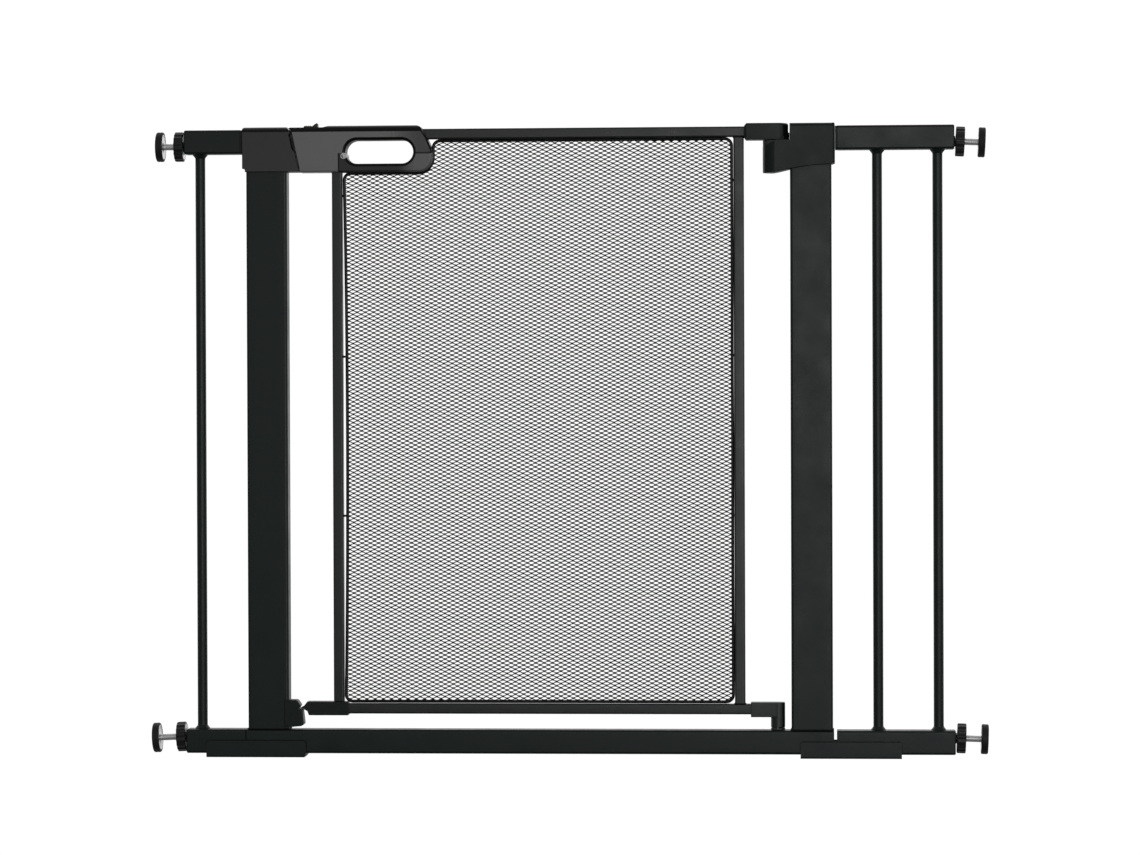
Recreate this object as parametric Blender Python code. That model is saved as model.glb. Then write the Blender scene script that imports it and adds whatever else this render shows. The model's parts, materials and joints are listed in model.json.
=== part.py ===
"""Pressure-fit safety gate with a swinging mesh door, modelled as separate pieces.

Frame: origin on the floor under the middle of the gate, +X along its width towards the hinge side,
+Y through its thickness (the front is -Y), +Z up.  All lengths are in metres.
"""
import math

import bmesh
import bpy
from mathutils import Matrix, Vector

# ---------------------------------------------------------------- driving dimensions
GAP = 0.0003                    # clearance between neighbouring pieces
TUBE_WALL = 0.0012

POST_X = {"left": -0.363, "right": 0.292}
POST_SIZE = (0.0495, 0.025)     # width, depth
POST_TOP_Z = 0.755
CORNER_R = 0.003

RAIL_SIZE = (0.025, 0.029)      # depth, height
BOTTOM_RAIL_Z = 0.0192
TOP_RAIL_Z = 0.7423
RAIL_END_X = 0.462              # outer ends of all four extension rails
BOTTOM_BAR_X = (-0.3905, 0.318)
LEFT_RAIL_INNER_X = {"top": -0.3947, "bottom": -0.3910}
RIGHT_RAIL_INNER_X = {"top": 0.3236, "bottom": 0.3215}
RAIL_FLANGE = 0.0021            # lip of the plug between an upper rail and its housing
BAR_RADIUS = 0.0059
BAR_X = {"left_extension_bar": -0.445, "right_extension_bar_inner": 0.371,
         "right_extension_bar_outer": 0.443}
BAR_FLARE = (0.0095, 0.0048)    # radius and height of the weld flare at each end

FOOT_PLATE_X = {"left": (-0.4385, -0.3175), "right": (0.278, 0.3988)}
FOOT_PLATE_HEIGHT = 0.0202
FOOT_PLATE_WALL = 0.0025

HOUSING_DEPTH = 0.032
HOUSING_TOP_Z = 0.7598
HOUSING_BOTTOM_Z = 0.707
SEAM_TOP = (-0.3332, 0.754)     # slanted joint between latch housing and handle
SEAM_SLOPE = 10.0 / 47.0        # run per unit of drop
SEAM_GAP = 0.001

HINGE_X = 0.251
PIN_RADIUS = 0.004
PIN_BORE = PIN_RADIUS + 0.0001
NOSE_RADIUS = 0.0164
NOSE_TOP_Z = 0.740
CAM_RADIUS = 0.0156
CAM_HUB_RADIUS = 0.0089
BLOCK_RADIUS = 0.0141
BLOCK_Z = (0.7405, 0.7603)
ELBOW_RADIUS = 0.0085
ELBOW_Z = (0.0367, 0.0492, 0.0669)   # boss foot, arm underside, top

DOOR_TUBE = 0.0125
STILE_X = {"left": (-0.2845, -0.2720), "right": (0.1995, 0.2120)}
DOOR_TOP_TUBE_Z = 0.75055
DOOR_BOTTOM_TUBE_Z = 0.05855

HANDLE_DEPTH = 0.028
HANDLE_BOTTOM_Z = 0.7062
HANDLE_TOP_Z = (0.7593, 0.7612)      # lower step by the latch, upper step over the grip
HANDLE_RIGHT_X = -0.1642
HANDLE_CORNER_R = 0.0165
SLOT_CENTRE = (-0.227, 0.7295)
SLOT_SIZE = (0.080, 0.028)
GRIP_SEAM = (-0.2765, 0.7278)        # left end and top of the lower grip piece

BOLT_X = (-0.3355, -0.2985)
BOLT_Z = (0.734, 0.7445)
BOLT_THICKNESS = 0.003
BOLT_TRAVEL = 0.007
STEM_X = (-0.3130, -0.3060)
BUTTON_X = (-0.3182, -0.3015)
LIFT = 0.006

WIRE_RADIUS = 0.0017
MESH_BOX = (-0.2689, 0.1957, 0.0682, 0.7401)   # centre line of the wire border: x0, x1, z0, z1
MESH_CORNER_R = 0.008
MESH_THICKNESS = 0.0005
WELD_Z = (0.291, 0.483)

SPINDLE_OFFSET = 0.005          # rod axes sit nearer the gate's middle than the rails' centre lines
ROD_RADIUS = 0.0039
ROD_INNER_X = 0.425
KNOB_RADIUS = 0.018
KNOB_X = (0.4646, 0.4754)
KNOB_LOBES = 16
PAD_RADIUS = 0.018
PAD_THICKNESS = 0.0085
DISC_RADIUS = 0.0149
DISC_THICKNESS = 0.0016
PAD_FACE_X = {"top_left": -0.4965, "top_right": 0.5000, "bottom_left": -0.5020, "bottom_right": 0.5020}


# ---------------------------------------------------------------- materials
def material(name, color, roughness, metallic=0.0):
    mat = bpy.data.materials.new(name)
    mat.use_nodes = True
    shader = mat.node_tree.nodes["Principled BSDF"]
    shader.inputs["Base Color"].default_value = (*color, 1.0)
    shader.inputs["Roughness"].default_value = roughness
    shader.inputs["Metallic"].default_value = metallic
    return mat


# ---------------------------------------------------------------- outlines
def fillet(corners, steps=4):
    """Polygon through (u, v) or (u, v, radius) corners, with arcs where a radius is given."""
    points = []
    count = len(corners)
    for index, corner in enumerate(corners):
        here = Vector(corner[:2])
        radius = corner[2] if len(corner) > 2 else 0.0
        if radius == 0.0:
            points.append(here)
            continue
        back = (Vector(corners[index - 1][:2]) - here).normalized()
        ahead = (Vector(corners[(index + 1) % count][:2]) - here).normalized()
        half = back.angle(ahead) / 2.0
        centre = here + (back + ahead).normalized() * radius / math.sin(half)
        start = here + back * radius / math.tan(half) - centre
        sweep = start.angle_signed(here + ahead * radius / math.tan(half) - centre)
        for step in range(steps + 1):
            points.append(centre + Matrix.Rotation(-sweep * step / steps, 2) @ start)
    return [(p.x, p.y) for p in points]


def rectangle(half_u, half_v, radius=0.0, steps=3, centre=(0.0, 0.0)):
    u, v = centre
    corners = [(u - half_u, v - half_v), (u + half_u, v - half_v), (u + half_u, v + half_v), (u - half_u, v + half_v)]
    return fillet([(*corner, radius) for corner in corners], steps)


def stadium(centre, size, steps=10):
    return rectangle(size[0] / 2, size[1] / 2, size[1] / 2 - 1e-5, steps, centre)


def to_world(axis, along, u, v):
    """Section coordinates to world: along X the section is (Y, Z), along Y (X, Z), along Z (X, Y)."""
    return {"X": (along, u, v), "Y": (u, along, v), "Z": (u, v, along)}[axis]


# ---------------------------------------------------------------- mesh builders
def finish_object(name, bm, mat, origin=(0.0, 0.0, 0.0), parent=None):
    bmesh.ops.remove_doubles(bm, verts=bm.verts, dist=1e-6)
    bmesh.ops.recalc_face_normals(bm, faces=bm.faces)
    origin = Vector(origin)
    bm.transform(Matrix.Translation(-origin))
    mesh = bpy.data.meshes.new(name)
    bm.to_mesh(mesh)
    bm.free()
    mesh.shade_smooth()
    mesh.set_sharp_from_angle(angle=math.radians(35))
    obj = bpy.data.objects.new(name, mesh)
    bpy.context.collection.objects.link(obj)
    obj.location = origin
    if mat is not None:
        mesh.materials.append(mat)
    if parent is not None:
        obj.parent = parent
        obj.location = origin - parent.location
    return obj


def bridge(bm, ring_a, ring_b):
    count = len(ring_a)
    for i in range(count):
        j = (i + 1) % count
        bm.faces.new((ring_a[i], ring_a[j], ring_b[j], ring_b[i]))


def stack(name, sections, mat, **placing):
    """Closed solid lofted through point rings that all have the same number of points."""
    bm = bmesh.new()
    rings = [[bm.verts.new(point) for point in section] for section in sections]
    for ring_a, ring_b in zip(rings, rings[1:]):
        bridge(bm, ring_a, ring_b)
    bm.faces.new(rings[0])
    bm.faces.new(rings[-1])
    return finish_object(name, bm, mat, **placing)


def prism(name, outline, start, end, mat, axis="Y", **placing):
    sections = [[to_world(axis, along, u, v) for u, v in outline] for along in (start, end)]
    return stack(name, sections, mat, **placing)


def box(name, low, high, mat=None, **placing):
    outline = [(low[0], low[2]), (high[0], low[2]), (high[0], high[2]), (low[0], high[2])]
    return prism(name, outline, low[1], high[1], mat, **placing)


def rect_tube(name, axis, start, end, centre, size, mat, **placing):
    """Rectangular tube, open at both ends."""
    half_u, half_v = size[0] / 2, size[1] / 2
    outer = rectangle(half_u, half_v, CORNER_R, 3, centre)
    inner = rectangle(half_u - TUBE_WALL, half_v - TUBE_WALL, CORNER_R - TUBE_WALL, 3, centre)
    bm = bmesh.new()
    rings = []
    for outline, along in ((outer, start), (outer, end), (inner, end), (inner, start)):
        rings.append([bm.verts.new(to_world(axis, along, u, v)) for u, v in outline])
    for index, ring in enumerate(rings):
        bridge(bm, ring, rings[(index + 1) % len(rings)])
    return finish_object(name, bm, mat, **placing)


def turned(name, profile, centre, mat, axis="Z", segments=32, **placing):
    """Body of revolution; (radius, height) profile, closed round a bore or ending on the axis."""
    bm = bmesh.new()
    rings = []
    for radius, height in profile:
        steps = segments if radius > 0 else 1
        ring = []
        for step in range(steps):
            angle = 2 * math.pi * step / segments
            u, v = radius * math.cos(angle), radius * math.sin(angle)
            ring.append(bm.verts.new(Vector(centre) + Vector(to_world(axis, height, u, v))))
        rings.append(ring)
    pairs = list(zip(rings, rings[1:]))
    if profile[0][0] > 0:
        pairs.append((rings[-1], rings[0]))
    for ring_a, ring_b in pairs:
        if len(ring_a) == 1 or len(ring_b) == 1:
            pole, ring = (ring_a[0], ring_b) if len(ring_a) == 1 else (ring_b[0], ring_a)
            for i in range(segments):
                bm.faces.new((pole, ring[i], ring[(i + 1) % segments]))
        else:
            bridge(bm, ring_a, ring_b)
    return finish_object(name, bm, mat, **placing)


def cylinder(name, radius, low, high, centre, mat=None, axis="Z", segments=32, chamfer=0.0, **placing):
    profile = [(0, low), (radius - chamfer, low), (radius, low + chamfer),
               (radius, high - chamfer), (radius - chamfer, high), (0, high)]
    if chamfer == 0.0:
        profile = [(0, low), (radius, low), (radius, high), (0, high)]
    return turned(name, profile, centre, mat, axis, segments, **placing)


# ---------------------------------------------------------------- modifiers
def guide(obj):
    obj.hide_render = True
    obj.display_type = "WIRE"
    return obj


def boolean(obj, other, operation):
    mod = obj.modifiers.new(operation.title(), "BOOLEAN")
    mod.operation = operation
    mod.object = guide(other)
    return obj


def cut(obj, other):
    return boolean(obj, other, "DIFFERENCE")


def keep_inside(obj, other):
    return boolean(obj, other, "INTERSECT")


def add(obj, other):
    return boolean(obj, other, "UNION")


def bevel(obj, width, segments=2):
    mod = obj.modifiers.new("Bevel", "BEVEL")
    mod.width = width
    mod.segments = segments
    mod.limit_method = "ANGLE"
    mod.angle_limit = math.radians(40)
    return obj


def empty(name, location):
    obj = bpy.data.objects.new(name, None)
    bpy.context.collection.objects.link(obj)
    obj.location = location
    return obj


# ---------------------------------------------------------------- main frame
def build_posts(mat):
    base = BOTTOM_RAIL_Z + RAIL_SIZE[1] / 2 + GAP
    for side, x in POST_X.items():
        rect_tube(f"{side}_post", "Z", base, POST_TOP_Z, (x, 0.0), POST_SIZE, mat)


def build_bottom_bar(mat):
    bar = rect_tube("bottom_bar", "X", *BOTTOM_BAR_X, (0.0, BOTTOM_RAIL_Z), RAIL_SIZE, mat)
    bush_hole = cylinder("bush_hole", 0.0064, BOTTOM_RAIL_Z, ELBOW_Z[0], (HINGE_X, 0, 0))
    cut(bar, bush_hole)


def post_pocket(name, x):
    """Space that a post fills inside the housing or bracket on its top."""
    half_u, half_v = POST_SIZE[0] / 2 + GAP, POST_SIZE[1] / 2 + GAP
    outline = rectangle(half_u, half_v, CORNER_R, 3, (x, 0.0))
    return prism(name, outline, HOUSING_BOTTOM_Z - 0.02, POST_TOP_Z + GAP, None, axis="Z")


def seam_x(z):
    """Edge of the latch housing at a height; the handle starts SEAM_GAP further on."""
    return SEAM_TOP[0] + (SEAM_TOP[1] - z) * SEAM_SLOPE


def build_latch_housing(mat):
    left, step = -0.392, 0.0035
    outline = fillet([
        (left, HOUSING_TOP_Z, 0.003), (left, HOUSING_BOTTOM_Z + 0.004, 0.001),
        (left + step, HOUSING_BOTTOM_Z + 0.004, 0.001), (left + step, HOUSING_BOTTOM_Z),
        (seam_x(HOUSING_BOTTOM_Z), HOUSING_BOTTOM_Z), (seam_x(0.755), 0.755),
        (seam_x(0.755) - 0.005, HOUSING_TOP_Z, 0.002)])
    half = HOUSING_DEPTH / 2
    housing = bevel(prism("latch_housing", outline, -half, half, mat), 0.0018, 3)
    cut(housing, post_pocket("latch_housing_pocket", POST_X["left"]))
    recess = [(-0.3333, 0.7535), (-0.3360, 0.7503), (-0.3345, 0.7466), (-0.3321, 0.7340),
              (-0.3306, 0.7315), (-0.3262, 0.7255), (-0.320, 0.7255), (-0.320, 0.7535)]
    for label, start, end in (("front", -0.02, -0.011), ("back", 0.011, 0.02)):
        cut(housing, prism(f"bolt_recess_{label}", recess, start, end, None))
    window_low = (BOLT_X[0] - 0.0007, -0.02, BOLT_Z[0] - 0.0008)
    cut(housing, box("bolt_window", window_low, (-0.320, 0.02, BOLT_Z[1] + 0.0018)))
    lift_room = BOLT_Z[1] + LIFT + 0.001
    cut(housing, box("bolt_lift_slot", (window_low[0], -0.0022, BOLT_Z[0]), (-0.320, 0.0022, lift_room)))


def build_lower_catch(mat):
    outline = fillet([
        (-0.3435, 0.0695, 0.002), (-0.3435, 0.0368), (-0.3333, 0.0368, 0.004), (-0.3215, 0.0378, 0.002),
        (-0.3185, 0.0402, 0.001), (-0.3183, 0.0426, 0.004), (-0.3201, 0.0566), (-0.3256, 0.0600),
        (-0.3238, 0.0630, 0.001), (-0.3282, 0.0695, 0.004)])
    catch = bevel(prism("lower_catch", outline, -0.015, 0.015, mat), 0.0012)
    half_depth = POST_SIZE[1] / 2 + GAP
    post_edge = POST_X["left"] + POST_SIZE[0] / 2 + GAP
    cut(catch, box("lower_catch_pocket", (-0.36, -half_depth, 0.03), (post_edge, half_depth, 0.08)))


def build_hinge_bracket(mat):
    ramp_low = (HINGE_X - NOSE_RADIUS, 0.7315)
    outline = fillet([
        (ramp_low[0], 0.701, 0.001), (0.2485, 0.701, 0.03), (0.2675, 0.7054, 0.05), (0.2905, 0.7090, 0.06),
        (0.3175, 0.7110), (0.3209, 0.7122), (0.3209, 0.7600), (0.2670, 0.7600), (0.2670, NOSE_TOP_Z),
        (HINGE_X + 0.0006, NOSE_TOP_Z), ramp_low])
    bracket = prism("hinge_bracket", outline, -NOSE_RADIUS, NOSE_RADIUS, mat)
    right = 0.3209
    plan = fillet([(HINGE_X - NOSE_RADIUS, -NOSE_RADIUS, NOSE_RADIUS - 1e-5), (right, -NOSE_RADIUS, 0.003),
                   (right, NOSE_RADIUS, 0.003), (HINGE_X - NOSE_RADIUS, NOSE_RADIUS, NOSE_RADIUS - 1e-5)], 8)
    keep_inside(bracket, prism("bracket_plan", plan, 0.69, 0.77, None, axis="Z"))
    cut(bracket, post_pocket("bracket_pocket", POST_X["right"]))
    cut(bracket, cylinder("bracket_bush_bore", 0.0083, 0.725, 0.75, (HINGE_X, 0, 0)))
    cut(bracket, cylinder("bracket_pin_bore", PIN_BORE, 0.712, 0.73, (HINGE_X, 0, 0)))


def build_upper_hinge_bush(mat):
    """Grey bearing: a hub sunk in the bracket's nose under a wedge that fills the nose's ramp."""
    low, ramp_z, high = 0.7253, 0.7316, NOSE_TOP_Z - GAP
    hub_r, wedge_r = 0.0080, NOSE_RADIUS - 0.0001
    profile = [(PIN_BORE, low), (hub_r, low), (hub_r, ramp_z), (wedge_r, ramp_z), (wedge_r, high), (PIN_BORE, high)]
    bush = turned("upper_hinge_bush", profile, (HINGE_X, 0, 0), mat)
    below_ramp = [(HINGE_X - 0.03, 0.725), (HINGE_X + 0.03, 0.725), (HINGE_X + 0.03, 0.745),
                  (HINGE_X + 0.0006, NOSE_TOP_Z + GAP), (HINGE_X - NOSE_RADIUS, 0.7315 + GAP),
                  (HINGE_X - 0.03, 0.7315 + GAP)]
    ramp = prism("bush_ramp", below_ramp, -0.02, 0.02, None)
    cut(ramp, cylinder("bush_ramp_hub", hub_r - 0.0001, 0.72, 0.75, (HINGE_X, 0, 0)))
    cut(bush, ramp)


def build_hinge_pins(pin_mat, bush_mat):
    cylinder("upper_hinge_pin", PIN_RADIUS, 0.7123, 0.7565, (HINGE_X, 0, 0), pin_mat, segments=24, chamfer=0.0006)
    cylinder("lower_hinge_pin", PIN_RADIUS, 0.0120, 0.0580, (HINGE_X, 0, 0), pin_mat, segments=24, chamfer=0.0006)
    bar_top = BOTTOM_RAIL_Z + RAIL_SIZE[1] / 2
    profile = [(PIN_BORE, 0.0260), (0.0061, 0.0260), (0.0061, bar_top + GAP), (0.0085, bar_top + GAP),
               (0.0085, ELBOW_Z[0] - 0.0005), (PIN_BORE, ELBOW_Z[0] - 0.0005)]
    turned("lower_hinge_bush", profile, (HINGE_X, 0, 0), bush_mat)


# ---------------------------------------------------------------- extensions
def build_rails(mat):
    for level, z in (("top", TOP_RAIL_Z), ("bottom", BOTTOM_RAIL_Z)):
        rect_tube(f"left_extension_{level}_rail", "X", -RAIL_END_X, LEFT_RAIL_INNER_X[level], (0, z), RAIL_SIZE, mat)
        rect_tube(f"right_extension_{level}_rail", "X", RIGHT_RAIL_INNER_X[level], RAIL_END_X, (0, z), RAIL_SIZE, mat)


def build_rail_joiners(mat):
    """Plugs that join the upper rails to the latch housing and to the hinge bracket."""
    depth, height = RAIL_SIZE
    lip = rectangle(depth / 2, height / 2, CORNER_R, 3, (0, TOP_RAIL_Z))
    clear = TUBE_WALL + GAP
    spigot = rectangle(depth / 2 - clear, height / 2 - clear, CORNER_R - TUBE_WALL, 3, (0, TOP_RAIL_Z))
    for side, rail_end, outward in (("left", LEFT_RAIL_INNER_X["top"], -1), ("right", RIGHT_RAIL_INNER_X["top"], 1)):
        face = rail_end - outward * GAP
        sections = ((lip, face - outward * RAIL_FLANGE), (lip, face), (spigot, face), (spigot, face + outward * 0.012))
        stack(f"{side}_rail_joiner", [[(x, y, z) for y, z in outline] for outline, x in sections], mat)


def build_bars(mat):
    low = BOTTOM_RAIL_Z + RAIL_SIZE[1] / 2 + GAP
    high = TOP_RAIL_Z - RAIL_SIZE[1] / 2 - GAP
    flare_r, flare_h = BAR_FLARE
    bore = BAR_RADIUS - TUBE_WALL
    profile = [(bore, low), (flare_r, low), (BAR_RADIUS, low + flare_h), (BAR_RADIUS, high - flare_h),
               (flare_r, high), (bore, high)]
    for name, x in BAR_X.items():
        turned(name, profile, (x, 0, 0), mat, segments=20)


def build_foot_plates(mat):
    inner = RAIL_SIZE[0] / 2 + GAP
    outer = inner + FOOT_PLATE_WALL
    floor_z = BOTTOM_RAIL_Z - RAIL_SIZE[1] / 2 - GAP
    channel = [(-outer, 0), (outer, 0), (outer, FOOT_PLATE_HEIGHT), (inner, FOOT_PLATE_HEIGHT),
               (inner, floor_z), (-inner, floor_z), (-inner, FOOT_PLATE_HEIGHT), (-outer, FOOT_PLATE_HEIGHT)]
    for side, (x0, x1) in FOOT_PLATE_X.items():
        plate = prism(f"{side}_foot_plate", channel, x0, x1, mat, axis="X")
        top = FOOT_PLATE_HEIGHT
        keep = fillet([(x0, -0.001), (x1 - 0.003, -0.001), (x1, 0.003), (x1, top, 0.004), (x0, top, 0.004)])
        if side == "right":
            keep = fillet([(x0, -0.001), (x1, -0.001), (x1, top, 0.004), (x0, top, 0.004)])
        keep_inside(plate, prism(f"{side}_foot_outline", keep, -0.02, 0.02, None))


# ---------------------------------------------------------------- spindles
def spindle_height(level):
    return TOP_RAIL_Z - SPINDLE_OFFSET if level == "top" else BOTTOM_RAIL_Z + SPINDLE_OFFSET


def build_end_plug(corner, level, outward, mat):
    """Plug in a rail's outer end, with the collar that guides the threaded rod."""
    rail_z = TOP_RAIL_Z if level == "top" else BOTTOM_RAIL_Z
    z = spindle_height(level)
    depth, height = RAIL_SIZE
    clear = TUBE_WALL + GAP
    outline = rectangle(depth / 2 - clear, height / 2 - clear, CORNER_R - TUBE_WALL, 3, (0, rail_z))
    end = outward * RAIL_END_X
    plug = prism(f"{corner}_end_plug", outline, end - outward * 0.018, end, mat, axis="X")
    collar_end = KNOB_X[0] - GAP
    profile = [(0, RAIL_END_X - 0.004), (0.0066, RAIL_END_X - 0.004), (0.0066, RAIL_END_X),
               (0.0058, collar_end), (0, collar_end)]
    profile = [(radius, outward * x) for radius, x in profile]
    add(plug, turned(f"{corner}_collar", profile, (0, 0, z), None, axis="X", segments=24))
    cut(plug, cylinder(f"{corner}_plug_bore", ROD_RADIUS + GAP, -0.52, 0.52, (0, 0, z), axis="X", segments=20))


def knob_outline(radius):
    """Fluted rim: one shallow wave for each lobe."""
    points = []
    for step in range(KNOB_LOBES * 4):
        angle = 2 * math.pi * step / (KNOB_LOBES * 4)
        depth = 0.0007 * (1 - math.cos(angle * KNOB_LOBES)) / 2
        points.append(((radius - depth) * math.cos(angle), (radius - depth) * math.sin(angle)))
    return points


def build_knob(corner, outward, z, mat, axle):
    inner, outer = KNOB_X
    chamfer = 0.0011
    sections = []
    for x, radius in ((inner, KNOB_RADIUS - chamfer), (inner + chamfer, KNOB_RADIUS),
                      (outer - chamfer, KNOB_RADIUS), (outer, KNOB_RADIUS - chamfer)):
        sections.append([(outward * x, y, z + up) for y, up in knob_outline(radius)])
    knob = stack(f"{corner}_knob", sections, mat, origin=(outward * inner, 0, z), parent=axle)
    bore = cylinder(f"{corner}_knob_bore", ROD_RADIUS + GAP, -0.52, 0.52, (0, 0, z), axis="X", segments=20)
    cut(knob, bore)


def build_pad(corner, outward, z, mats, axle):
    """Rubber cup and the zinc disc that backs it, on the end of the threaded rod."""
    face = abs(PAD_FACE_X[corner])
    back = face - PAD_THICKNESS
    disc_seat = back + DISC_THICKNESS + 2 * GAP
    place = {"origin": (outward * back, 0, z), "parent": axle}
    centre = (0, 0, z)
    rod = cylinder(f"{corner}_rod", ROD_RADIUS, outward * ROD_INNER_X, outward * (back - GAP), centre,
                   mats["zinc"], axis="X", segments=20, chamfer=0.0, **place)
    rod.name = f"{corner}_threaded_rod"
    disc = [(0, back), (DISC_RADIUS, back), (DISC_RADIUS, back + DISC_THICKNESS), (0, back + DISC_THICKNESS)]
    disc = [(radius, outward * x) for radius, x in disc]
    turned(f"{corner}_pad_disc", disc, centre, mats["zinc"], axis="X", segments=32, **place)
    rim = 0.0008
    cup = [(0, disc_seat), (DISC_RADIUS + GAP, disc_seat), (DISC_RADIUS + GAP, back), (PAD_RADIUS - rim, back),
           (PAD_RADIUS, back + rim), (PAD_RADIUS, face - rim), (PAD_RADIUS - rim, face), (0, face)]
    cup = [(radius, outward * x) for radius, x in cup]
    turned(f"{corner}_wall_pad", cup, centre, mats["rubber"], axis="X", segments=32, **place)


def build_spindles(mats):
    for corner in PAD_FACE_X:
        level, side = corner.split("_")
        outward = -1 if side == "left" else 1
        z = spindle_height(level)
        axle = empty(f"{corner}_spindle_axis", (outward * RAIL_END_X, 0, z))
        build_end_plug(corner, level, outward, mats["plastic"])
        build_knob(corner, outward, z, mats["plastic"], axle)
        build_pad(corner, outward, z, mats, axle)


# ---------------------------------------------------------------- door
def build_door_frame(mat, axis):
    size = (DOOR_TUBE, DOOR_TUBE)
    place = {"origin": (HINGE_X, 0, 0), "parent": axis}
    half = DOOR_TUBE / 2
    low = {"left": 0.0672, "right": DOOR_BOTTOM_TUBE_Z + half + GAP}
    high = {"left": HANDLE_BOTTOM_Z - GAP, "right": DOOR_TOP_TUBE_Z - half - GAP}
    for side, (x0, x1) in STILE_X.items():
        rect_tube(f"door_{side}_stile", "Z", low[side], high[side], ((x0 + x1) / 2, 0), size, mat, **place)
    rect_tube("door_top_tube", "X", -0.1897, 0.2382, (0, DOOR_TOP_TUBE_Z), size, mat, **place)
    rect_tube("door_bottom_tube", "X", -0.3047, 0.2382, (0, DOOR_BOTTOM_TUBE_Z), size, mat, **place)


def tube_pocket(name, x0, x1, z):
    half = DOOR_TUBE / 2 + GAP
    return box(name, (x0, -half, z - half), (x1, half, z + half))


def border_outline(inset, steps):
    """Centre line of the wire border moved inwards by inset; it steps round the handle's lower corner."""
    x0, x1, z0, z1 = MESH_BOX
    leg_x = HANDLE_RIGHT_X + 0.0024
    under_z = HANDLE_BOTTOM_Z - 0.0024
    round_r = HANDLE_CORNER_R + 0.0024
    return fillet([
        (x0 + inset, z0 + inset, MESH_CORNER_R - inset), (x1 - inset, z0 + inset, MESH_CORNER_R - inset),
        (x1 - inset, z1 - inset, MESH_CORNER_R - inset), (leg_x + inset, z1 - inset, MESH_CORNER_R - inset),
        (leg_x + inset, under_z - inset, round_r + inset), (x0 + inset, under_z - inset, MESH_CORNER_R - inset)], steps)


def build_wire_border(mat, axis):
    path = [Vector(point) for point in border_outline(0.0, 5)]
    sides = 8
    bm = bmesh.new()
    rings = []
    for index, here in enumerate(path):
        back = (here - path[index - 1]).normalized()
        ahead = (path[(index + 1) % len(path)] - here).normalized()
        across = (back + ahead).normalized().orthogonal()
        stretch = 1.0 / math.cos(back.angle(ahead) / 2)
        ring = []
        for step in range(sides):
            angle = 2 * math.pi * (step + 0.5) / sides
            flat = here + across * WIRE_RADIUS * math.cos(angle) * stretch
            ring.append(bm.verts.new((flat.x, WIRE_RADIUS * math.sin(angle), flat.y)))
        rings.append(ring)
    for index, ring in enumerate(rings):
        bridge(bm, ring, rings[(index + 1) % len(rings)])
    border = finish_object("wire_border", bm, mat, origin=(HINGE_X, 0, 0), parent=axis)
    weld_x = {"left": (STILE_X["left"][1] + GAP, MESH_BOX[0]), "right": (MESH_BOX[1], STILE_X["right"][0] - GAP)}
    for side, (x0, x1) in weld_x.items():
        for number, z in enumerate(WELD_Z):
            weld = cylinder(f"{side}_weld_{number}", 0.0011, x0, x1, (0, 0, z), axis="X", segments=8)
            add(border, weld)


def build_mesh_panel(mat, axis):
    outline = border_outline(WIRE_RADIUS + GAP, 5)
    half = MESH_THICKNESS / 2
    prism("mesh_panel", outline, -half, half, mat, origin=(HINGE_X, 0, 0), parent=axis)


def handle_outline():
    left_low = seam_x(HANDLE_BOTTOM_Z) + SEAM_GAP
    left_high = seam_x(0.755) + SEAM_GAP
    low_top, high_top = HANDLE_TOP_Z
    return fillet([
        (left_low, HANDLE_BOTTOM_Z), (left_high, 0.755), (left_high - 0.005, low_top),
        (-0.2945, low_top, 0.004), (-0.2885, high_top, 0.004), (-0.1770, high_top, 0.010),
        (-0.1690, 0.7467, 0.02), (HANDLE_RIGHT_X, 0.7310, 0.02),
        (HANDLE_RIGHT_X, HANDLE_BOTTOM_Z, HANDLE_CORNER_R)], 5)


def handle_blank(name, mat, place):
    half = HANDLE_DEPTH / 2
    blank = bevel(prism(name, handle_outline(), -half, half, mat, **place), 0.0025, 3)
    cut(blank, prism(f"{name}_finger_slot", stadium(SLOT_CENTRE, SLOT_SIZE), -0.02, 0.02, None))
    return blank


def build_handle(mats, axis):
    place = {"origin": (HINGE_X, 0, 0), "parent": axis}
    seam_left, seam_top = GRIP_SEAM
    body = handle_blank("handle_body", mats["plastic_grey"], place)
    cut(body, box("grip_room", (seam_left - GAP, -0.02, 0.69), (-0.15, 0.02, seam_top + GAP)))
    grip = handle_blank("handle_grip", mats["plastic_grey"], place)
    keep_inside(grip, box("grip_part", (seam_left, -0.02, 0.69), (-0.15, 0.02, seam_top)))
    cut(body, tube_pocket("handle_tube_pocket", -0.190, -0.150, DOOR_TOP_TUBE_Z))
    half_bolt = BOLT_THICKNESS / 2 + GAP
    bolt_low, bolt_high = BOLT_Z[0] - GAP, BOLT_Z[1] + GAP
    cut(body, box("bolt_channel", (-0.345, -half_bolt, bolt_low), (-0.290, half_bolt, bolt_high)))
    cut(body, box("spring_room", (BOLT_X[1] - 0.0005, -0.0045, bolt_low + 0.0005), (-0.2855, 0.0045, bolt_high)))
    stem_room = (STEM_X[0] - GAP, -0.0033, BOLT_Z[1] - 0.001), (STEM_X[1] + BOLT_TRAVEL + 0.0005, 0.0033, 0.77)
    cut(body, box("stem_slot", *stem_room))
    pin_place = (-0.2718, 0.7247)
    hole = cylinder("grip_pin_hole", 0.0035, -0.02, 0.02, (pin_place[0], 0, pin_place[1]), axis="Y", segments=20)
    cut(grip, hole)
    cylinder("grip_pin", 0.0032, -0.0136, 0.0136, (pin_place[0], 0, pin_place[1]), mats["zinc"], axis="Y",
             segments=20, chamfer=0.0004, **place)


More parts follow.
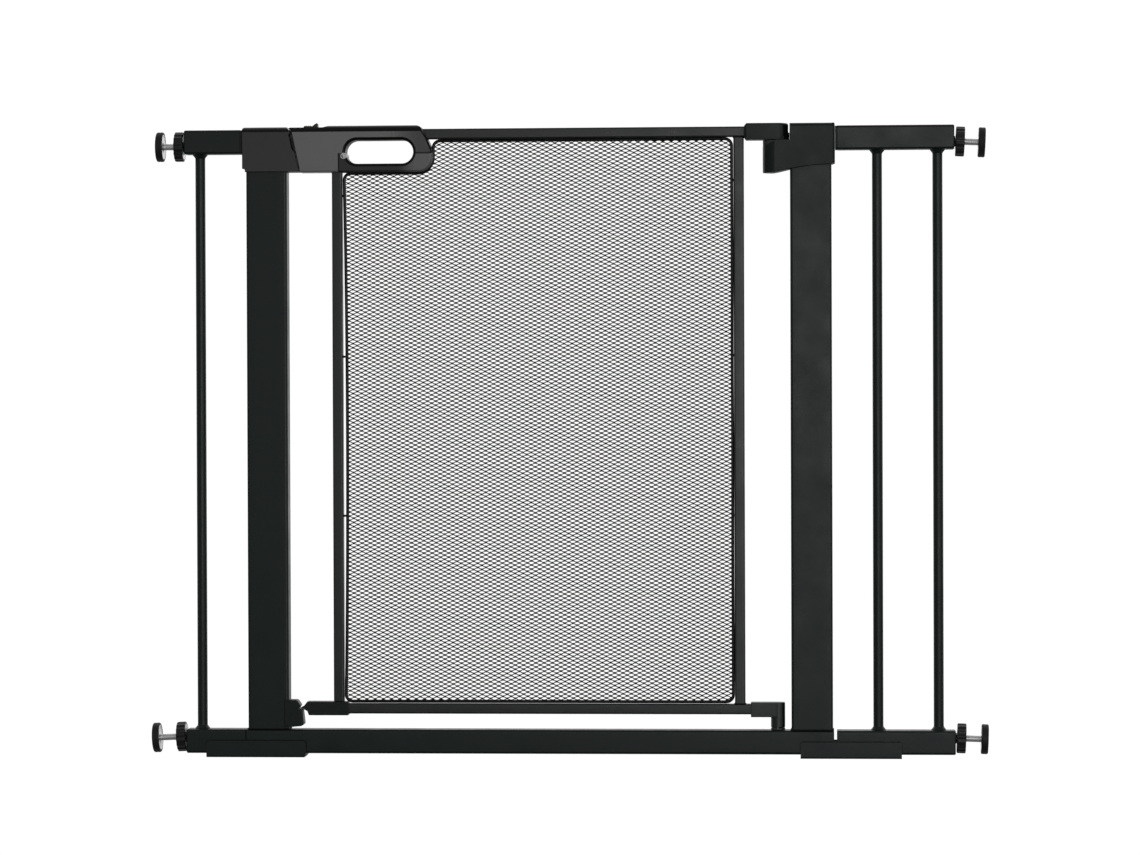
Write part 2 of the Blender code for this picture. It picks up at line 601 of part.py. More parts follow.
def build_hinge_block(mat, axis):
    low, high = BLOCK_Z
    right = HINGE_X + BLOCK_RADIUS
    diagonal = Vector((0.2660 - 0.2557, 0.7493 - 0.7408)).normalized()
    on_seam = Vector((0.2557, 0.7408))
    place = {"origin": (HINGE_X, 0, 0), "parent": axis}
    outline = [(0.2127, low + 0.002), (0.2142, low), (right, low), (right, high), (0.2165, high), (0.2127, high - 0.0033)]
    block = bevel(prism("hinge_block", outline, -BLOCK_RADIUS, BLOCK_RADIUS, mat, **place), 0.0008, 1)
    round_r = BLOCK_RADIUS - 1e-5
    plan = fillet([(0.205, -BLOCK_RADIUS), (right, -BLOCK_RADIUS, round_r), (right, BLOCK_RADIUS, round_r),
                   (0.205, BLOCK_RADIUS)], 8)
    keep_inside(block, prism("block_plan", plan, 0.73, 0.77, None, axis="Z"))

    def below_seam(name, shift):
        """Everything under the slanted joint between block and cam, moved up by shift."""
        lift = Vector((-diagonal.y, diagonal.x)) * shift
        start, end = on_seam - diagonal * 0.02 + lift, on_seam + diagonal * 0.02 + lift
        return prism(name, [tuple(start), (end.x, start.y), tuple(end)], -0.03, 0.03, None)

    cut(block, below_seam("block_cam_room", GAP))
    cut(block, tube_pocket("block_tube_pocket", 0.20, 0.2385, DOOR_TOP_TUBE_Z))
    cut(block, cylinder("block_hub_room", CAM_HUB_RADIUS + GAP, 0.73, 0.7431, (HINGE_X, 0, 0)))
    cut(block, cylinder("block_pin_bore", PIN_BORE, 0.73, 0.7572, (HINGE_X, 0, 0)))

    cam_low, hub_top, skirt_top = NOSE_TOP_Z + GAP, 0.7428, 0.7490
    profile = [(PIN_BORE, cam_low), (CAM_RADIUS, cam_low), (CAM_RADIUS, skirt_top), (PIN_BORE, skirt_top)]
    cam = turned("hinge_cam", profile, (HINGE_X, 0, 0), mat, **place)
    start, end = on_seam - diagonal * 0.05, on_seam + diagonal * 0.05
    above = prism("cam_above_seam", [tuple(start), tuple(end), (start.x, end.y)], -0.03, 0.03, None)
    cut(above, cylinder("cam_hub", CAM_HUB_RADIUS, 0.73, hub_top, (HINGE_X, 0, 0)))
    cut(cam, above)


def build_elbow(mat, axis):
    foot, under, top = ELBOW_Z
    place = {"origin": (HINGE_X, 0, 0), "parent": axis}
    chamfer = 0.001
    profile = [(0, foot), (ELBOW_RADIUS - chamfer, foot), (ELBOW_RADIUS, foot + chamfer),
               (ELBOW_RADIUS, top), (0, top)]
    elbow = turned("hinge_elbow", profile, (HINGE_X, 0, 0), mat, **place)
    arm = box("elbow_arm", (0.2186, -ELBOW_RADIUS + 0.0002, under), (HINGE_X + 0.001, ELBOW_RADIUS - 0.0002, top))
    add(elbow, arm)
    cut(elbow, tube_pocket("elbow_tube_pocket", 0.21, 0.2385, DOOR_BOTTOM_TUBE_Z))
    cut(elbow, cylinder("elbow_pin_bore", PIN_BORE, 0.03, 0.0585, (HINGE_X, 0, 0)))


def build_catch_cap(mat, axis):
    outline = [(-0.3166, 0.0669), (-0.3206, 0.0617), (-0.3234, 0.0606), (-0.3234, 0.0594), (-0.3204, 0.0576),
               (-0.3166, 0.0554), (-0.3146, 0.0504), (-0.2669, 0.0504), (-0.2669, 0.0669)]
    place = {"origin": (HINGE_X, 0, 0), "parent": axis}
    cap = bevel(prism("bottom_catch_cap", outline, -0.0085, 0.0085, mat, **place), 0.0005, 1)
    cut(cap, tube_pocket("cap_tube_pocket", -0.305, -0.255, DOOR_BOTTOM_TUBE_Z))


# ---------------------------------------------------------------- thumb latch
def button_outline():
    """Side view of the thumb slider: low ridges, then a pointed thumb stop."""
    x0, x1 = BUTTON_X
    base = HANDLE_TOP_Z[0] + GAP
    points = [(x0, base), (x0, base + 0.0010)]
    ridge = 0.0022
    for number in range(4):
        start = x0 + 0.0006 + number * ridge
        points += [(start, base + 0.0010), (start + ridge * 0.3, base + 0.0021), (start + ridge * 0.6, base + 0.0021)]
    points += [(x0 + 0.0098, base + 0.0010), (x1 - 0.0018, base + 0.0050), (x1 - 0.0010, base + 0.0050), (x1, base)]
    return points


def build_thumb_latch(mats, carrier):
    place = {"origin": (BOLT_X[0], 0, BOLT_Z[0]), "parent": carrier}
    button = prism("thumb_slider", button_outline(), -0.0065, 0.0065, mats["plastic"], **place)
    base = HANDLE_TOP_Z[0] + GAP
    add(button, box("slider_stem", (STEM_X[0], -0.003, BOLT_Z[1] + GAP), (STEM_X[1], 0.003, base + 0.0005)))
    half = BOLT_THICKNESS / 2
    box("latch_bolt", (BOLT_X[0], -half, BOLT_Z[0]), (BOLT_X[1], half, BOLT_Z[1]), mats["zinc"], **place)


def build_bolt_spring(mat, carrier):
    """Compression spring behind the bolt, a closed coil of round wire along X."""
    start, end = BOLT_X[1] + GAP, -0.2859
    coil_r, wire_r = 0.0030, 0.0004
    turns, steps, sides = 6, 12, 5
    centre_z = (BOLT_Z[0] + BOLT_Z[1]) / 2
    sections = []
    for step in range(turns * steps + 1):
        part = step / (turns * steps)
        angle = 2 * math.pi * turns * part
        radial = Vector((0, math.cos(angle), math.sin(angle)))
        middle = Vector((start + wire_r + part * (end - start - 2 * wire_r), 0, centre_z)) + radial * coil_r
        ring = []
        for side in range(sides):
            turn = 2 * math.pi * side / sides
            ring.append(middle + radial * wire_r * math.cos(turn) + Vector((wire_r * math.sin(turn), 0, 0)))
        sections.append(ring)
    stack("bolt_spring", sections, mat, origin=(start, 0, centre_z), parent=carrier)


# ---------------------------------------------------------------- assembly
def main():
    for obj in list(bpy.data.objects):
        bpy.data.objects.remove(obj, do_unlink=True)
    mats = {
        "paint": material("black_powder_coat", (0.020, 0.022, 0.022), 0.45),
        "plastic": material("black_moulded_plastic", (0.022, 0.023, 0.023), 0.50),
        "plastic_grey": material("charcoal_moulded_plastic", (0.045, 0.045, 0.045), 0.50),
        "rubber": material("black_rubber", (0.015, 0.015, 0.015), 0.75),
        "zinc": material("bright_zinc", (0.62, 0.63, 0.62), 0.30, 1.0),
        "nylon": material("grey_nylon", (0.07, 0.07, 0.07), 0.55),
    }
    build_posts(mats["paint"])
    build_bottom_bar(mats["paint"])
    build_latch_housing(mats["plastic"])
    build_lower_catch(mats["plastic"])
    build_hinge_bracket(mats["plastic"])
    build_upper_hinge_bush(mats["nylon"])
    build_hinge_pins(mats["zinc"], mats["nylon"])
    build_rails(mats["paint"])
    build_rail_joiners(mats["plastic"])
    build_bars(mats["paint"])
    build_foot_plates(mats["paint"])
    build_spindles(mats)

    hinge_axis = empty("door_hinge_axis", (HINGE_X, 0, 0))
    build_door_frame(mats["paint"], hinge_axis)
    build_wire_border(mats["paint"], hinge_axis)
    build_mesh_panel(mats["paint"], hinge_axis)
    build_handle(mats, hinge_axis)
    build_hinge_block(mats["plastic"], hinge_axis)
    build_elbow(mats["plastic"], hinge_axis)
    build_catch_cap(mats["plastic"], hinge_axis)
    build_thumb_latch(mats, hinge_axis)
    build_bolt_spring(mats["zinc"], hinge_axis)


main()
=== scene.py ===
"""Looks of the safety gate: detailed pieces, materials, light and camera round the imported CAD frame."""
import json
import math

import bmesh
import bpy
import numpy as np
from mathutils import Matrix, Vector

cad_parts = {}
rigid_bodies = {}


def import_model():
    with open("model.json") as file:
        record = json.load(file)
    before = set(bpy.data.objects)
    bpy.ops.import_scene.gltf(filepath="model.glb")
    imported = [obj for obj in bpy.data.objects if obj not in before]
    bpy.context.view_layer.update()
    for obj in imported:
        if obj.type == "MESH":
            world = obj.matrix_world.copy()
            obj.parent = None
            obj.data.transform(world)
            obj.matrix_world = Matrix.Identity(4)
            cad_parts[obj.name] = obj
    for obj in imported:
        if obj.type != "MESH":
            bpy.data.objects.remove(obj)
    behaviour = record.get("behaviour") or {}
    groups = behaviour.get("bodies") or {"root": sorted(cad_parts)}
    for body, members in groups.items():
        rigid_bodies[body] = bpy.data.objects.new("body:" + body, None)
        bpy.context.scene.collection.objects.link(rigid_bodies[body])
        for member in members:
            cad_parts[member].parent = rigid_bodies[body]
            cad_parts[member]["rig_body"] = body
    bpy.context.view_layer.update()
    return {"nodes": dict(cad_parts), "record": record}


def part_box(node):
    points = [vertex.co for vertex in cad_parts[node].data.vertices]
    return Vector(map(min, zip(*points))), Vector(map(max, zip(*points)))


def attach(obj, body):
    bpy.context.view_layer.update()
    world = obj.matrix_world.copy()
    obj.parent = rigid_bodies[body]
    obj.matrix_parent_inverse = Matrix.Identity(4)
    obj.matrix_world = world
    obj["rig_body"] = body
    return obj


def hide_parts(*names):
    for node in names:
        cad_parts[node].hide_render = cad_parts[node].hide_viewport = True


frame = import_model()
NODES = frame["nodes"]
SLOTS = {part["node"]: part["material_slot"] for part in frame["record"]["subparts"]}
CORNERS = ("top_left", "top_right", "bottom_left", "bottom_right")
PAINT_SLOT, PLASTIC_SLOT = "black_powder_coat", "black_moulded_plastic"
CHARCOAL_SLOT, ZINC_SLOT = "charcoal_moulded_plastic", "bright_zinc"
ELBOW_R = 0.0085
HINGE_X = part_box("hinge_elbow")[1].x - ELBOW_R
HINGE = (HINGE_X, 0.0, 0.0)


# ---- materials
def feed(tree, socket, value):
    """Set a socket to a value, or link it to the output that gives its value."""
    if isinstance(value, bpy.types.NodeSocket):
        tree.links.new(value, socket)
    else:
        socket.default_value = value


def add_node(tree, kind, inputs=(), output=0, **settings):
    """Shader node with its inputs, by name or number, and its settings; gives one of its outputs."""
    node = tree.nodes.new("ShaderNode" + kind)
    for key, value in settings.items():
        setattr(node, key, value)
    for key, value in dict(inputs).items():
        feed(tree, node.inputs[key], value)
    return node.outputs[output] if node.outputs else None


FINE_SHARE = 0.62  # share of the fine grain in the colour; broad patches make up the rest
BROAD_SCALE, SPECK_SCALE = 28.0, 0.35


def surface(name, color, roughness, metallic=0.0, grain=1900.0, height=0.00003, mottle=0.12, uneven=0.06,
            stretch=(1.0, 1.0, 1.0), specular=0.5, painted_light_ramp=None):
    """Finish with fine grain in colour and bump, and broad patches in colour and roughness.

    The last argument, (axis, from, to, factor, rise), is painted light and shade: along the axis
    the colour goes down to factor and the roughness up by rise.
    """
    mat = bpy.data.materials.new(name)
    mat.use_nodes = True
    tree = mat.node_tree
    coords = add_node(tree, "TexCoord", output="Object")
    spot = add_node(tree, "Mapping", {"Vector": coords, "Scale": stretch})
    fine, broad, speck = (
        add_node(tree, "TexNoise", {"Vector": spot, "Scale": scale, "Detail": detail, "Roughness": rough})
        for scale, detail, rough in (
            (grain, 3.0, 0.6), (BROAD_SCALE, 4.0, 0.55), (grain * SPECK_SCALE, 1.0, 0.5)))
    patches = add_node(tree, "Math", {0: broad, 1: 1 - FINE_SHARE}, operation="MULTIPLY")
    mixed = add_node(tree, "Math", {0: fine, 1: FINE_SHARE, 2: patches}, operation="MULTIPLY_ADD")
    contrast = add_node(tree, "MapRange", {"Value": mixed, "From Min": 0.32, "From Max": 0.68})
    dark, light = ((*[c * (1 + change) for c in color], 1.0) for change in (-mottle, mottle))
    shade = add_node(tree, "Mix", {"Factor": contrast, "A": dark, "B": light}, "Result", data_type="RGBA")
    dullness = add_node(tree, "MapRange", {
        "Value": broad, "From Min": 0.3, "From Max": 0.7,
        "To Min": max(roughness - uneven, 0.05), "To Max": roughness + uneven})
    # Painted light and shade: colour darkened and roughness raised along one axis.
    if painted_light_ramp:
        axis, start, end, factor, rise = painted_light_ramp
        sides = add_node(tree, "SeparateXYZ", {0: coords}).node.outputs
        ramp = add_node(tree, "MapRange", {"Value": sides[axis], "From Min": start, "From Max": end},
                        interpolation_type="SMOOTHSTEP")
        shade = add_node(tree, "Mix", {"Factor": ramp, "A": shade, "B": (factor, factor, factor, 1.0)},
                         "Result", data_type="RGBA", blend_type="MULTIPLY")
        dullness = add_node(tree, "Math", {0: ramp, 1: rise, 2: dullness}, operation="MULTIPLY_ADD")
    bumps = add_node(tree, "Math", {0: fine, 1: speck}, operation="ADD")
    bump = add_node(tree, "Bump", {"Strength": 1.0, "Distance": height, "Height": bumps})
    dress_shader(mat, Metallic=metallic, Specular_IOR_Level=specular, Base_Color=shade, Roughness=dullness,
                 Normal=bump)
    return mat


def dress_shader(mat, **inputs):
    shader = mat.node_tree.nodes["Principled BSDF"]
    for key, value in inputs.items():
        feed(mat.node_tree, shader.inputs[key.replace("_", " ")], value)


FRAME_PAINT = surface("frame_powder_coat", (0.0035, 0.0130, 0.0108), 0.34, grain=1100.0, specular=0.46)
DOOR_PAINT = surface("door_powder_coat", (0.0085, 0.0120, 0.0110), 0.31, grain=1100.0, specular=0.72)
MESH_PAINT = surface("mesh_dip_coat", (0.0060, 0.0060, 0.0054), 0.36, grain=1600.0, height=0.00002)
WELD_PAINT = surface("weld_powder_coat", (0.0018, 0.0024, 0.0022), 0.30, grain=900.0, height=0.00005, specular=0.4)
HOUSING_PLASTIC = surface("latch_housing_plastic", (0.0120, 0.0120, 0.0118), 0.37, specular=0.90)
BRACKET_PLASTIC = surface("hinge_plastic", (0.0035, 0.0115, 0.0095), 0.38, specular=0.40)
KNOB_PLASTIC = surface("knob_plastic", (0.0100, 0.0104, 0.0104), 0.36)
ELBOW_PLASTIC = surface("elbow_plastic", (0.0060, 0.0140, 0.0120), 0.34, specular=0.75)
CHARCOAL = {"grain": 2200.0, "specular": 1.0, "mottle": 0.05, "uneven": 0.012, "height": 0.00002}
# Painted light: the handle's colour drops to a fifth towards the right, a painted fall-off of the key light's
# reflection; the grip's colour drops to near black towards its left, painted shade.
HANDLE_PLASTIC = surface("handle_charcoal_plastic", (0.215, 0.215, 0.213), 0.25,
                         painted_light_ramp=(0, -0.222, -0.176, 0.20, 0.13), **CHARCOAL)
GRIP_PLASTIC = surface("grip_charcoal_plastic", (0.160, 0.160, 0.159), 0.27,
                       painted_light_ramp=(0, -0.178, -0.205, 0.02, 0.30), **CHARCOAL)
# Near-black material for painted shade: the arched tops, the handle's end band, the finger slot's rim and the strips
# round the foot plates.
PAINTED_SHADE_BLACK = surface("slot_liner_plastic", (0.0018, 0.0018, 0.0018), 0.30, height=0.00002,
                       specular=0.3)
SLIDER_PLASTIC = surface("slider_plastic", (0.040, 0.040, 0.032), 0.50)
RUBBER = surface("black_rubber", (0.0100, 0.0100, 0.0100), 0.58, grain=1300.0, height=0.00008, mottle=0.2)
NYLON = surface("grey_nylon", (0.060, 0.060, 0.058), 0.48, grain=1500.0, mottle=0.08)
ZINC = surface("bright_zinc", (0.86, 0.87, 0.86), 0.30, 1.0, grain=700.0, height=0.00001, mottle=0.10,
               uneven=0.08, stretch=(1.0, 0.35, 0.35))
ROD_ZINC = surface("rod_zinc", (0.92, 0.93, 0.92), 0.46, 1.0, grain=700.0, height=0.00001, mottle=0.08,
                   uneven=0.05)
PIN_METAL = surface("grip_pin_metal", (0.80, 0.80, 0.79), 0.42, 0.6, grain=900.0, height=0.00001)
NODE_FINISH = {PAINT_SLOT: FRAME_PAINT, PLASTIC_SLOT: BRACKET_PLASTIC, CHARCOAL_SLOT: HANDLE_PLASTIC,
               "black_rubber": RUBBER, ZINC_SLOT: ZINC, "grey_nylon": NYLON}


# ---- outlines
def fillet(corners, steps=5):
    """Polygon through (u, v) or (u, v, radius) corners, with arcs where a radius is given."""
    points, count = [], len(corners)
    for index, corner in enumerate(corners):
        here = Vector(corner[:2])
        radius = corner[2] if len(corner) > 2 else 0.0
        if radius == 0.0:
            points.append(here)
            continue
        back = (Vector(corners[index - 1][:2]) - here).normalized()
        ahead = (Vector(corners[(index + 1) % count][:2]) - here).normalized()
        half = back.angle(ahead) / 2.0
        centre = here + (back + ahead).normalized() * radius / math.sin(half)
        start = here + back * radius / math.tan(half) - centre
        sweep = start.angle_signed(here + ahead * radius / math.tan(half) - centre)
        for step in range(steps + 1):
            points.append(centre + Matrix.Rotation(-sweep * step / steps, 2) @ start)
    return [(p.x, p.y) for p in points]


def rectangle(half_u, half_v, radius, steps=6, centre=(0.0, 0.0)):
    u, v = centre
    corners = [(u - half_u, v - half_v), (u + half_u, v - half_v), (u + half_u, v + half_v), (u - half_u, v + half_v)]
    return fillet([(*corner, radius) for corner in corners], steps)


def densify(outline, step=0.0025):
    """Outline with extra points, so that no side is longer than step."""
    points = []
    for here, ahead in zip(outline, outline[1:] + outline[:1]):
        length = math.dist(here, ahead)
        if length < 1e-6:
            continue
        parts = max(1, math.ceil(length / step))
        points += [(here[0] + (ahead[0] - here[0]) * k / parts, here[1] + (ahead[1] - here[1]) * k / parts)
                   for k in range(parts)]
    return points


def inset(outline, distance):
    """Closed outline moved inwards; distance(u, v) is how far, for a side that faces (u, v)."""
    points = np.array(outline)
    ahead = np.roll(points, -1, 0) - points
    area = np.sum(points[:, 0] * np.roll(points[:, 1], -1) - np.roll(points[:, 0], -1) * points[:, 1])
    out = np.stack((ahead[:, 1], -ahead[:, 0]), 1) * np.sign(area)
    out /= np.linalg.norm(out, axis=1)[:, None]
    back = np.roll(out, 1, 0)
    mitre = (out + back) / (1.0 + np.sum(out * back, 1))[:, None]
    unit = mitre / np.linalg.norm(mitre, axis=1)[:, None]
    move = np.array([distance(u, v) for u, v in unit])
    return [tuple(p) for p in points - mitre * move[:, None]]


def to_world(axis, along, u, v):
    """Section coordinates to world: along X the section is (Y, Z), along Y (X, Z), along Z (X, Y)."""
    return {"X": (along, u, v), "Y": (u, along, v), "Z": (u, v, along)}[axis]


# ---- mesh builders
def new_object(name, data):
    obj = bpy.data.objects.new(name, data)
    bpy.context.scene.collection.objects.link(obj)
    return obj


def finish_mesh(name, bm, mat):
    bmesh.ops.remove_doubles(bm, verts=bm.verts, dist=1e-7)
    bmesh.ops.recalc_face_normals(bm, faces=bm.faces)
    mesh = bpy.data.meshes.new(name)
    bm.to_mesh(mesh)
    bm.free()
    if mat is not None:
        mesh.materials.append(mat)
    return smooth(new_object(name, mesh))


def smooth(obj, angle=32.0):
    obj.data.shade_smooth()
    obj.data.set_sharp_from_angle(angle=math.radians(angle))
    return obj


def repaint(obj, mat):
    obj.data.materials.clear()
    obj.data.materials.append(mat)


def bridge(bm, ring_a, ring_b):
    count = len(ring_a)
    for i in range(count):
        j = (i + 1) % count
        bm.faces.new((ring_a[i], ring_a[j], ring_b[j], ring_b[i]))


def loft(name, sections, mat, closed=False, bm=None):
    """Solid through point rings of one length, capped at both ends, or closed from the last to the first."""
    own = bm is None
    bm = bm or bmesh.new()
    rings = [[bm.verts.new(point) for point in section] for section in sections]
    for ring_a, ring_b in zip(rings, rings[1:]):
        bridge(bm, ring_a, ring_b)
    if closed:
        bridge(bm, rings[-1], rings[0])
    else:
        bm.faces.new(rings[0])
        bm.faces.new(rings[-1])
    return finish_mesh(name, bm, mat) if own else None


def prism(name, outline, start, end, mat, axis="Y"):
    return loft(name, [[to_world(axis, along, u, v) for u, v in outline] for along in (start, end)], mat)


def cutter(outline, start=-0.03, end=0.03, axis="Y"):
    """Prism for a boolean; it reaches through the whole gate unless its ends are given."""
    return prism("cutter", outline, start, end, None, axis)


def box(low, high):
    """Plain block for a boolean."""
    outline = [(low[0], low[2]), (high[0], low[2]), (high[0], high[2]), (low[0], high[2])]
    return cutter(outline, low[1], high[1])


def bore(radius, bottom, top, segments=96):
    """Cylinder on the hinge's axis, for a boolean."""
    return turned("bore", [(0, bottom), (radius, bottom), (radius, top), (0, top)], HINGE, None,
                  segments=segments)


def soft_prism(name, outline, start, end, mat, distance, depth, axis="Y", ends=(True, True), steps=5,
               dense=0.0025):
    """Prism with rounded ends: the outline shrinks by distance(u, v) over depth at each rounded end."""
    outline = densify(outline, dense)
    angles = [math.pi / 2 * k / steps for k in range(steps + 1)]

    def rounded(edge, inward, order):
        rings = [inset(outline, lambda u, v: distance(u, v) * (1 - math.cos(a))) for a in order]
        return [(edge + inward * depth * (1 - math.sin(a)), ring) for a, ring in zip(order, rings)]

    sections = rounded(start, 1, angles[::-1]) if ends[0] else [(start, outline)]
    sections += rounded(end, -1, angles) if ends[1] else [(end, outline)]
    return loft(name, [[to_world(axis, along, u, v) for u, v in ring] for along, ring in sections], mat)


def even(radius):
    return lambda u, v: radius


def turned(name, profile, centre, mat, axis="Z", segments=72, bm=None):
    """Body of revolution from a (radius, height) profile.

    A radius of 0 ends on the axis; otherwise the profile closes round a bore.
    """
    own = bm is None
    bm = bm or bmesh.new()
    rings = []
    for radius, height in profile:
        ring = []
        for step in range(segments if radius > 0 else 1):
            angle = 2 * math.pi * step / segments
            point = to_world(axis, height, radius * math.cos(angle), radius * math.sin(angle))
            ring.append(bm.verts.new(Vector(centre) + Vector(point)))
        rings.append(ring)
    pairs = list(zip(rings, rings[1:]))
    if profile[0][0] > 0:
        pairs.append((rings[-1], rings[0]))
    for ring_a, ring_b in pairs:
        if len(ring_a) == 1 or len(ring_b) == 1:
            pole, ring = (ring_a[0], ring_b) if len(ring_a) == 1 else (ring_b[0], ring_a)
            for i in range(segments):
                bm.faces.new((pole, ring[i], ring[(i + 1) % segments]))
        else:
            bridge(bm, ring_a, ring_b)
    return finish_mesh(name, bm, mat) if own else None


def round_profile(corners, steps=4):
    """Profile whose (radius, height, rounding) corners are softened; the two ends stay as they are."""
    points = [tuple(corners[0][:2])]
    for index in range(1, len(corners) - 1):
        here = Vector(corners[index][:2])
        rounding = corners[index][2] if len(corners[index]) > 2 else 0.0
        if rounding == 0.0:
            points.append(tuple(here))
            continue
        back = Vector(corners[index - 1][:2]) - here
        ahead = Vector(corners[index + 1][:2]) - here
        size = min(rounding, back.length * 0.49, ahead.length * 0.49)
        start, end = here + back.normalized() * size, here + ahead.normalized() * size
        for step in range(steps + 1):
            t = step / steps
            points.append(tuple(start * (1 - t) ** 2 + here * 2 * t * (1 - t) + end * t * t))
    return points + [tuple(corners[-1][:2])]


def boolean(obj, other, operation="DIFFERENCE"):
    """obj cut, joined or kept by other, with the result written into its mesh; other is used up."""
    mod = obj.modifiers.new("Boolean", "BOOLEAN")
    mod.operation, mod.object, mod.solver = operation, other, "EXACT"
    apply_modifiers(obj)
    mesh = other.data
    bpy.data.objects.remove(other)
    bpy.data.meshes.remove(mesh)
    return obj


def apply_modifiers(obj):
    depsgraph = bpy.context.evaluated_depsgraph_get()
    mesh = bpy.data.meshes.new_from_object(obj.evaluated_get(depsgraph))
    old = obj.data
    obj.modifiers.clear()
    obj.data = mesh
    bpy.data.meshes.remove(old)
    mesh.name = obj.name
    smooth(obj)


def bevel(obj, width):
    mod = obj.modifiers.new("Bevel", "BEVEL")
    mod.width, mod.segments, mod.limit_method = width, 3, "ANGLE"
    mod.angle_limit = math.radians(40)
    apply_modifiers(obj)
    return obj


def place(obj, *nodes, body=None, finish=None):
    """The piece stands for the CAD nodes and rides on their body, or rides on the body named."""
    normals = obj.modifiers.new("Normals", "WEIGHTED_NORMAL")
    normals.keep_sharp = True
    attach(obj, body or NODES[nodes[0]]["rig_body"])
    if nodes:
        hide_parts(*nodes)
    return obj


def bead(name, path, radius, mat, ripple=0.0011, sides=8):
    """Weld bead round a closed path of points: a thin lumpy rope with the ripples of the weld pool."""
    points = [Vector(p) for p in path]
    sections, travelled = [], 0.0
    for index, here in enumerate(points):
        before, after = points[index - 1], points[(index + 1) % len(points)]
        travelled += (here - before).length if index else 0.0
        forward = (after - before).normalized()
        side = forward.cross(Vector((0.31, 0.22, 0.92))).normalized()
        rise = forward.cross(side)
        size = radius * (1.0 + 0.16 * math.sin(2 * math.pi * travelled / ripple)
                         + 0.10 * math.sin(travelled * 1700.0 + 1.3))
        sections.append([here + size * (side * math.cos(a) + rise * math.sin(a))
                         for a in (2 * math.pi * k / sides for k in range(sides))])
    return loft(name, sections, mat, closed=True)


# ---- tubes, bars and foot plates
TUBES = {"left_post": ("Z", 0.0032), "right_post": ("Z", 0.0032), "bottom_bar": ("X", 0.0030),
         "left_extension_top_rail": ("X", 0.0030), "left_extension_bottom_rail": ("X", 0.0030),
         "right_extension_top_rail": ("X", 0.0030), "right_extension_bottom_rail": ("X", 0.0030),
         "door_left_stile": ("Z", 0.0020), "door_right_stile": ("Z", 0.0020),
         "door_top_tube": ("X", 0.0020), "door_bottom_tube": ("X", 0.0020)}
TUBE_WALL = 0.0012
TUBE_END_R = 0.0004


def build_tubes():
    for node, (axis, corner_r) in TUBES.items():
        low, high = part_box(node)
        along = "XYZ".index(axis)
        others = [i for i in range(3) if i != along]
        half = [(high[i] - low[i]) / 2 for i in others]
        centre = tuple((high[i] + low[i]) / 2 for i in others)
        outer = densify(rectangle(*half, corner_r, 6, centre), 0.008)
        start, end = low[along], high[along]
        sections = []
        for spot, shrink in ((start + TUBE_END_R, 0.0), (end - TUBE_END_R, 0.0), (end, TUBE_END_R),
                             (end, TUBE_WALL), (start, TUBE_WALL), (start, TUBE_END_R)):
            ring = inset(outer, even(shrink)) if shrink else outer
            sections.append([to_world(axis, spot, u, v) for u, v in ring])
        paint = DOOR_PAINT if node.startswith("door") else FRAME_PAINT
        place(loft(f"{node}_tube", sections, paint, closed=True), node)


BARS = ("left_extension_bar", "right_extension_bar_inner", "right_extension_bar_outer")
BAR_RADIUS, FLARE_RADIUS, FLARE_HEIGHT = 0.0060, 0.0091, 0.0040


def build_bars():
    for node in BARS:
        low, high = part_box(node)
        x = (low.x + high.x) / 2
        flare = [(FLARE_RADIUS, 0.0), (FLARE_RADIUS - 0.0002, 0.0006), (BAR_RADIUS + 0.0007, FLARE_HEIGHT - 0.0008),
                 (BAR_RADIUS + 0.0002, FLARE_HEIGHT), (BAR_RADIUS, FLARE_HEIGHT + 0.0012)]
        profile = [(BAR_RADIUS - TUBE_WALL, low.z)] + [(r, low.z + h) for r, h in flare]
        profile += [(r, high.z - h) for r, h in reversed(flare)] + [(BAR_RADIUS - TUBE_WALL, high.z)]
        place(turned(f"{node}_tube", profile, (x, 0, 0), FRAME_PAINT, segments=48), node)


WELD_LIFT = 0.0002  # from a weld's centre line to the tube that it runs along


def ring_weld(name, node, z, corner_r, radius, step):
    """Bead round an upright tube at height z."""
    low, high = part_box(node)
    outline = rectangle((high.x - low.x) / 2, (high.y - low.y) / 2, corner_r, 8, ((low.x + high.x) / 2, 0.0))
    weld = bead(name, [(u, v, z) for u, v in densify(outline, step)], radius, WELD_PAINT)
    place(weld, body=NODES[node]["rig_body"], finish=PAINT_SLOT)


def build_tube_welds():
    """Bead round the foot of each post, and the corner welds of the door's tubes."""
    for side in ("left", "right"):
        post = f"{side}_post"
        ring_weld(f"{post}_weld", post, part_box(post)[0].z + WELD_LIFT, 0.0032, 0.0010, 0.00035)
    foot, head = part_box("door_bottom_tube")[1].z + WELD_LIFT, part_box("door_top_tube")[0].z - WELD_LIFT
    for side, label, z in (("left", "foot", foot), ("right", "foot", foot), ("right", "head", head)):
        stile = f"door_{side}_stile"
        ring_weld(f"{stile}_{label}_weld", stile, z, 0.0020, 0.0008, 0.0003)


PLATE_WALL, PLATE_BEND_R, PLATE_EDGE_R, PLATE_CORNER_R = 0.0025, 0.0022, 0.0008, 0.004


